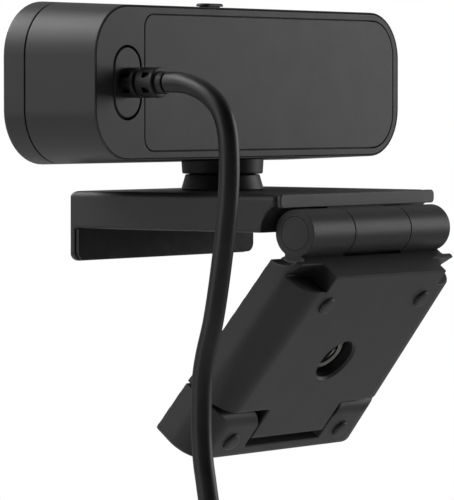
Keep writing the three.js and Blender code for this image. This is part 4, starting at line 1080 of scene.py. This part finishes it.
def arm_inner_cover():
    inset = WALL + GAP
    body = common(arm_loft((POCKET_START + GAP, inset, ARM_INNER), (POCKET_END - GAP, inset, ARM_INNER)),
                  block(-60, 60, -60, 20, -ARM_INNER - 1.5, 0))
    return cut(body, block(-14.3, 14.3, -POCKET_END + 3 - GAP, -POCKET_START - 3 + GAP, -ARM_INNER - 0.9, 1))


def grip_pad():
    outline = lambda inset: rounded(-14 + inset, 14 - inset, -POCKET_END + 3 + inset,
                                    -POCKET_START - 3 - inset, 1.2 - inset)
    body = slab("z", outline, -ARM_INNER - 0.6, -ARM_INNER, 0.05, 0.2)
    return cut(body, *[block(-12.5, 12.5, y - 0.35, y + 0.35, -ARM_INNER - 0.25, 1)
                       for y in range(-30, -13, 3)])


def tripod_insert():
    """A threaded insert: a helical thread inside, a chamfered mouth and a plain outside."""
    mouth, floor = -(ARM_OUTER - INSERT_SUNK), -4.1
    outer, sides, rows = TRIPOD_BORE_R - GAP, 72, 60
    vertices, start = [], mouth + 0.35
    profile = [(outer, floor), (outer, mouth + 0.4), (outer - 0.12, mouth + 0.12), (outer - 0.4, mouth),
               (INSERT_BORE_R + 0.6, mouth)]
    for k in range(sides):
        a = 2 * math.pi * k / sides
        column = list(profile)
        for j in range(rows + 1):
            z = start + (floor - start) * j / rows
            wave = abs(((z / THREAD_PITCH - k / sides) % 1) * 2 - 1)
            fade = min(1, (z - start) / 0.5, (floor - z) / 0.5)
            column.append((INSERT_BORE_R + 0.45 * wave * max(fade, 0), z))
        vertices.append([(r * math.cos(a), -TRIPOD_AT + r * math.sin(a), z) for r, z in column])
    return loft([list(ring) for ring in zip(*vertices)], closed=True)


def foot(side, across_arm, along):
    """A low rubber dome on the outer face."""
    base = -ARM_OUTER - 0.02
    profile = [(0.001, base), (FOOT_R, base)]
    profile += [(FOOT_R - 0.9 * (1 - c), base - 0.12 - 0.6 * s) for s, c in right_angle(8)]
    return turned("z", profile + [(0.4, base - 0.73), (0.001, base - 0.73)],
                  side * across_arm, -along, 48)


def toe_flap():
    start = TOE_PIN_AT - TOE_KNUCKLE_R
    ends = [(TOE_END - 1 + s, 1 - c) for s, c in right_angle(6)]
    body = arm_loft((start,), *ends)
    corner = cut(block(-60, 60, -TOE_PIN_AT, -start + 1, -ARM_OUTER - 1, -TOE_PIN_OUT),
                 bar("x", TOE_KNUCKLE_R, -70, 70, -TOE_PIN_AT, -TOE_PIN_OUT, 96))
    inner = TONGUE_HALF + GAP - 0.05
    wedge = [(inner, -37), (inner, -42.3), (inner + 2.4, -38.6), (inner + 2.4, -37)]
    wedges = [loft([[(side * x, y, z) for x, y in wedge] for z in (-12, -4)]) for side in (-1, 1)]
    return cut(body, corner, *wedges, block(-TONGUE_HALF - GAP, TONGUE_HALF + GAP, -TOE_SLOT_END, 0, -20, 20),
               bar("x", TOE_PIN_R + GAP, -24.3, 24.3, -TOE_PIN_AT, -TOE_PIN_OUT, 32))


def arm_piece(name, made, *rest, **options):
    return piece(name, turned_to_rest(made), *rest, **options)


arm_piece("arm_skin", arm_shell(), "arm", "shell", shell_grey, ["arm_shell"])
arm_piece("arm_lining", arm_inner_cover(), "arm", "black_plastic", inner_black, ["arm_inner_cover"])
arm_piece("grip_rubber", grip_pad(), "arm", "rubber", soft_rubber, ["arm_pad"])
arm_piece("thread_insert", tripod_insert(), "arm", "thread_metal", nickel, ["tripod_insert"], sharp=50)
for side_name, side in (("left", 1), ("right", -1)):
    near, far = sorted((side * (BARREL_HALF - END_CAP_THICK), side * BARREL_HALF))
    arm_piece(f"end_disc_{side_name}", bar("x", END_CAP_R, near, far, sides=64, edge=0.07), "arm", "shell",
              shell_grey, [f"end_cap_{side_name}"])
    arm_piece(f"arm_button_{side_name}", foot(side, *ARM_FOOT_AT), "arm", "rubber", foot_rubber,
              [f"arm_foot_{side_name}"])
    arm_piece(f"toe_button_{side_name}", foot(side, *TOE_FOOT_AT), "toe", "rubber", foot_rubber,
              [f"toe_foot_{side_name}"])
arm_piece("toe_skin", moulded(toe_flap(), 3, 0.35), "toe", "shell", shell_grey, ["toe_flap"])

# ---- CAD nodes that stay, with their own finishes ----

kept = {
    "lens_holder": inner_black, "image_sensor": sensor_glass, "sensor_board": solder_mask,
    "main_board": solder_mask, "board_connector": milky, "status_led": milky, "tilt_pin": black_steel,
}
for name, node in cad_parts.items():
    if node.hide_render:
        continue
    node.data.materials.clear()
    node.data.materials.append(kept.get(name, plated_steel))

# ---- stage and light ----

FLOOR_Z = -0.183
PLAIN_FLOOR, WHITE_FLOOR = 0.3, 0.8  # the floor is plain near the object and white from further off
FLOOR_GLOSS = 0.19
AMBIENT = 0.04
GLOSS_FAR, GLOSS_NEAR = 0.32, 0.03  # what gloss sees behind the object and on the camera's side


def visible_rays(n, *kinds):
    outputs = n.add("ShaderNodeLightPath").outputs
    total = outputs[kinds[0]]
    for kind in kinds[1:]:
        total = n.add("ShaderNodeMath", {0: total, 1: outputs[kind]}, operation="ADD",
                      use_clamp=True).outputs[0]
    return total


def choose(n, factor, first, second):
    return n.add("ShaderNodeMix", {0: factor, 2: first, 3: second}).outputs[0]


def make_floor():
    mesh = bpy.data.meshes.new("floor")
    corners = [(x, y, FLOOR_Z) for x, y in ((-9, -9), (9, -9), (9, 9), (-9, 9))]
    mesh.from_pydata(corners, [], [(0, 1, 2, 3)])
    floor = bpy.data.objects.new("floor", mesh)
    bpy.context.scene.collection.objects.link(floor)
    made, n = material("floor_white")
    place = n.add("ShaderNodeTexCoord").outputs["Object"]
    flat = n.add("ShaderNodeVectorMath", {0: place, 1: (1, 1, 0)}, operation="MULTIPLY").outputs[0]
    reach = n.add("ShaderNodeVectorMath", {0: flat}, operation="LENGTH").outputs["Value"]
    far_off = n.span(reach, 0, 1, PLAIN_FLOOR, WHITE_FLOOR)
    seen = visible_rays(n, "Is Camera Ray", "Is Glossy Ray", "Is Transmission Ray")
    amount = n.add("ShaderNodeMath", {0: seen, 1: far_off}, operation="MULTIPLY").outputs[0]
    strength = choose(n, visible_rays(n, "Is Glossy Ray"), 1.0, FLOOR_GLOSS)
    plain = n.add("ShaderNodeBsdfDiffuse", {"Color": (0.86, 0.86, 0.86, 1)}).outputs[0]
    white = n.add("ShaderNodeEmission", {"Color": (1, 1, 1, 1), "Strength": strength}).outputs[0]
    mixed = n.add("ShaderNodeMixShader", {0: amount, 1: plain, 2: white}).outputs[0]
    n.add("ShaderNodeOutputMaterial", {"Surface": mixed})
    mesh.materials.append(made)


def make_world():
    world = bpy.data.worlds.new("studio")
    bpy.context.scene.world = world
    world.use_nodes = True
    n = Nodes(world.node_tree)
    direction = n.add("ShaderNodeTexCoord").outputs["Generated"]
    toward = n.add("ShaderNodeVectorMath", {0: direction, 1: (away.x, away.y, 0)},
                   operation="DOT_PRODUCT").outputs["Value"]
    gloss = n.add("ShaderNodeMapRange", {
        "Value": toward, "From Min": -0.4, "From Max": 0.4, "To Min": GLOSS_FAR,
        "To Max": GLOSS_NEAR}, interpolation_type="SMOOTHSTEP").outputs[0]
    level = choose(n, visible_rays(n, "Is Glossy Ray"), AMBIENT, gloss)
    level = choose(n, visible_rays(n, "Is Camera Ray", "Is Transmission Ray"), level, 1.0)
    n.add("ShaderNodeOutputWorld", {"Surface": n.add("ShaderNodeBackground", {
        "Color": (1, 1, 1, 1), "Strength": level}).outputs[0]})


def softbox(name, place, power):
    lamp = bpy.data.lights.new(name, "AREA")
    lamp.shape, lamp.size, lamp.size_y, lamp.energy = "RECTANGLE", LAMP_SIZE, LAMP_SIZE, power
    made = bpy.data.objects.new(name, lamp)
    made.location = place
    made.rotation_mode = "QUATERNION"
    made.rotation_quaternion = (-Vector(place)).to_track_quat("-Z", "Y")
    made.visible_camera = False
    bpy.context.scene.collection.objects.link(made)


LAMP_SIZE = 0.6
LAMPS = (
    ("high_left", (0.221, -0.826, 0.77), 8.2),
    ("high_side", (0.74, -0.427, 0.77), 5.4),
    ("low_side", (0.994, -0.574, 0.2), 1.9),
    ("low_rear", (-0.994, 0.574, 0.2), 3.6),
)
make_floor()
make_world()
for lamp in LAMPS:
    softbox(*lamp)

bpy.context.scene.view_settings.view_transform = "Standard"
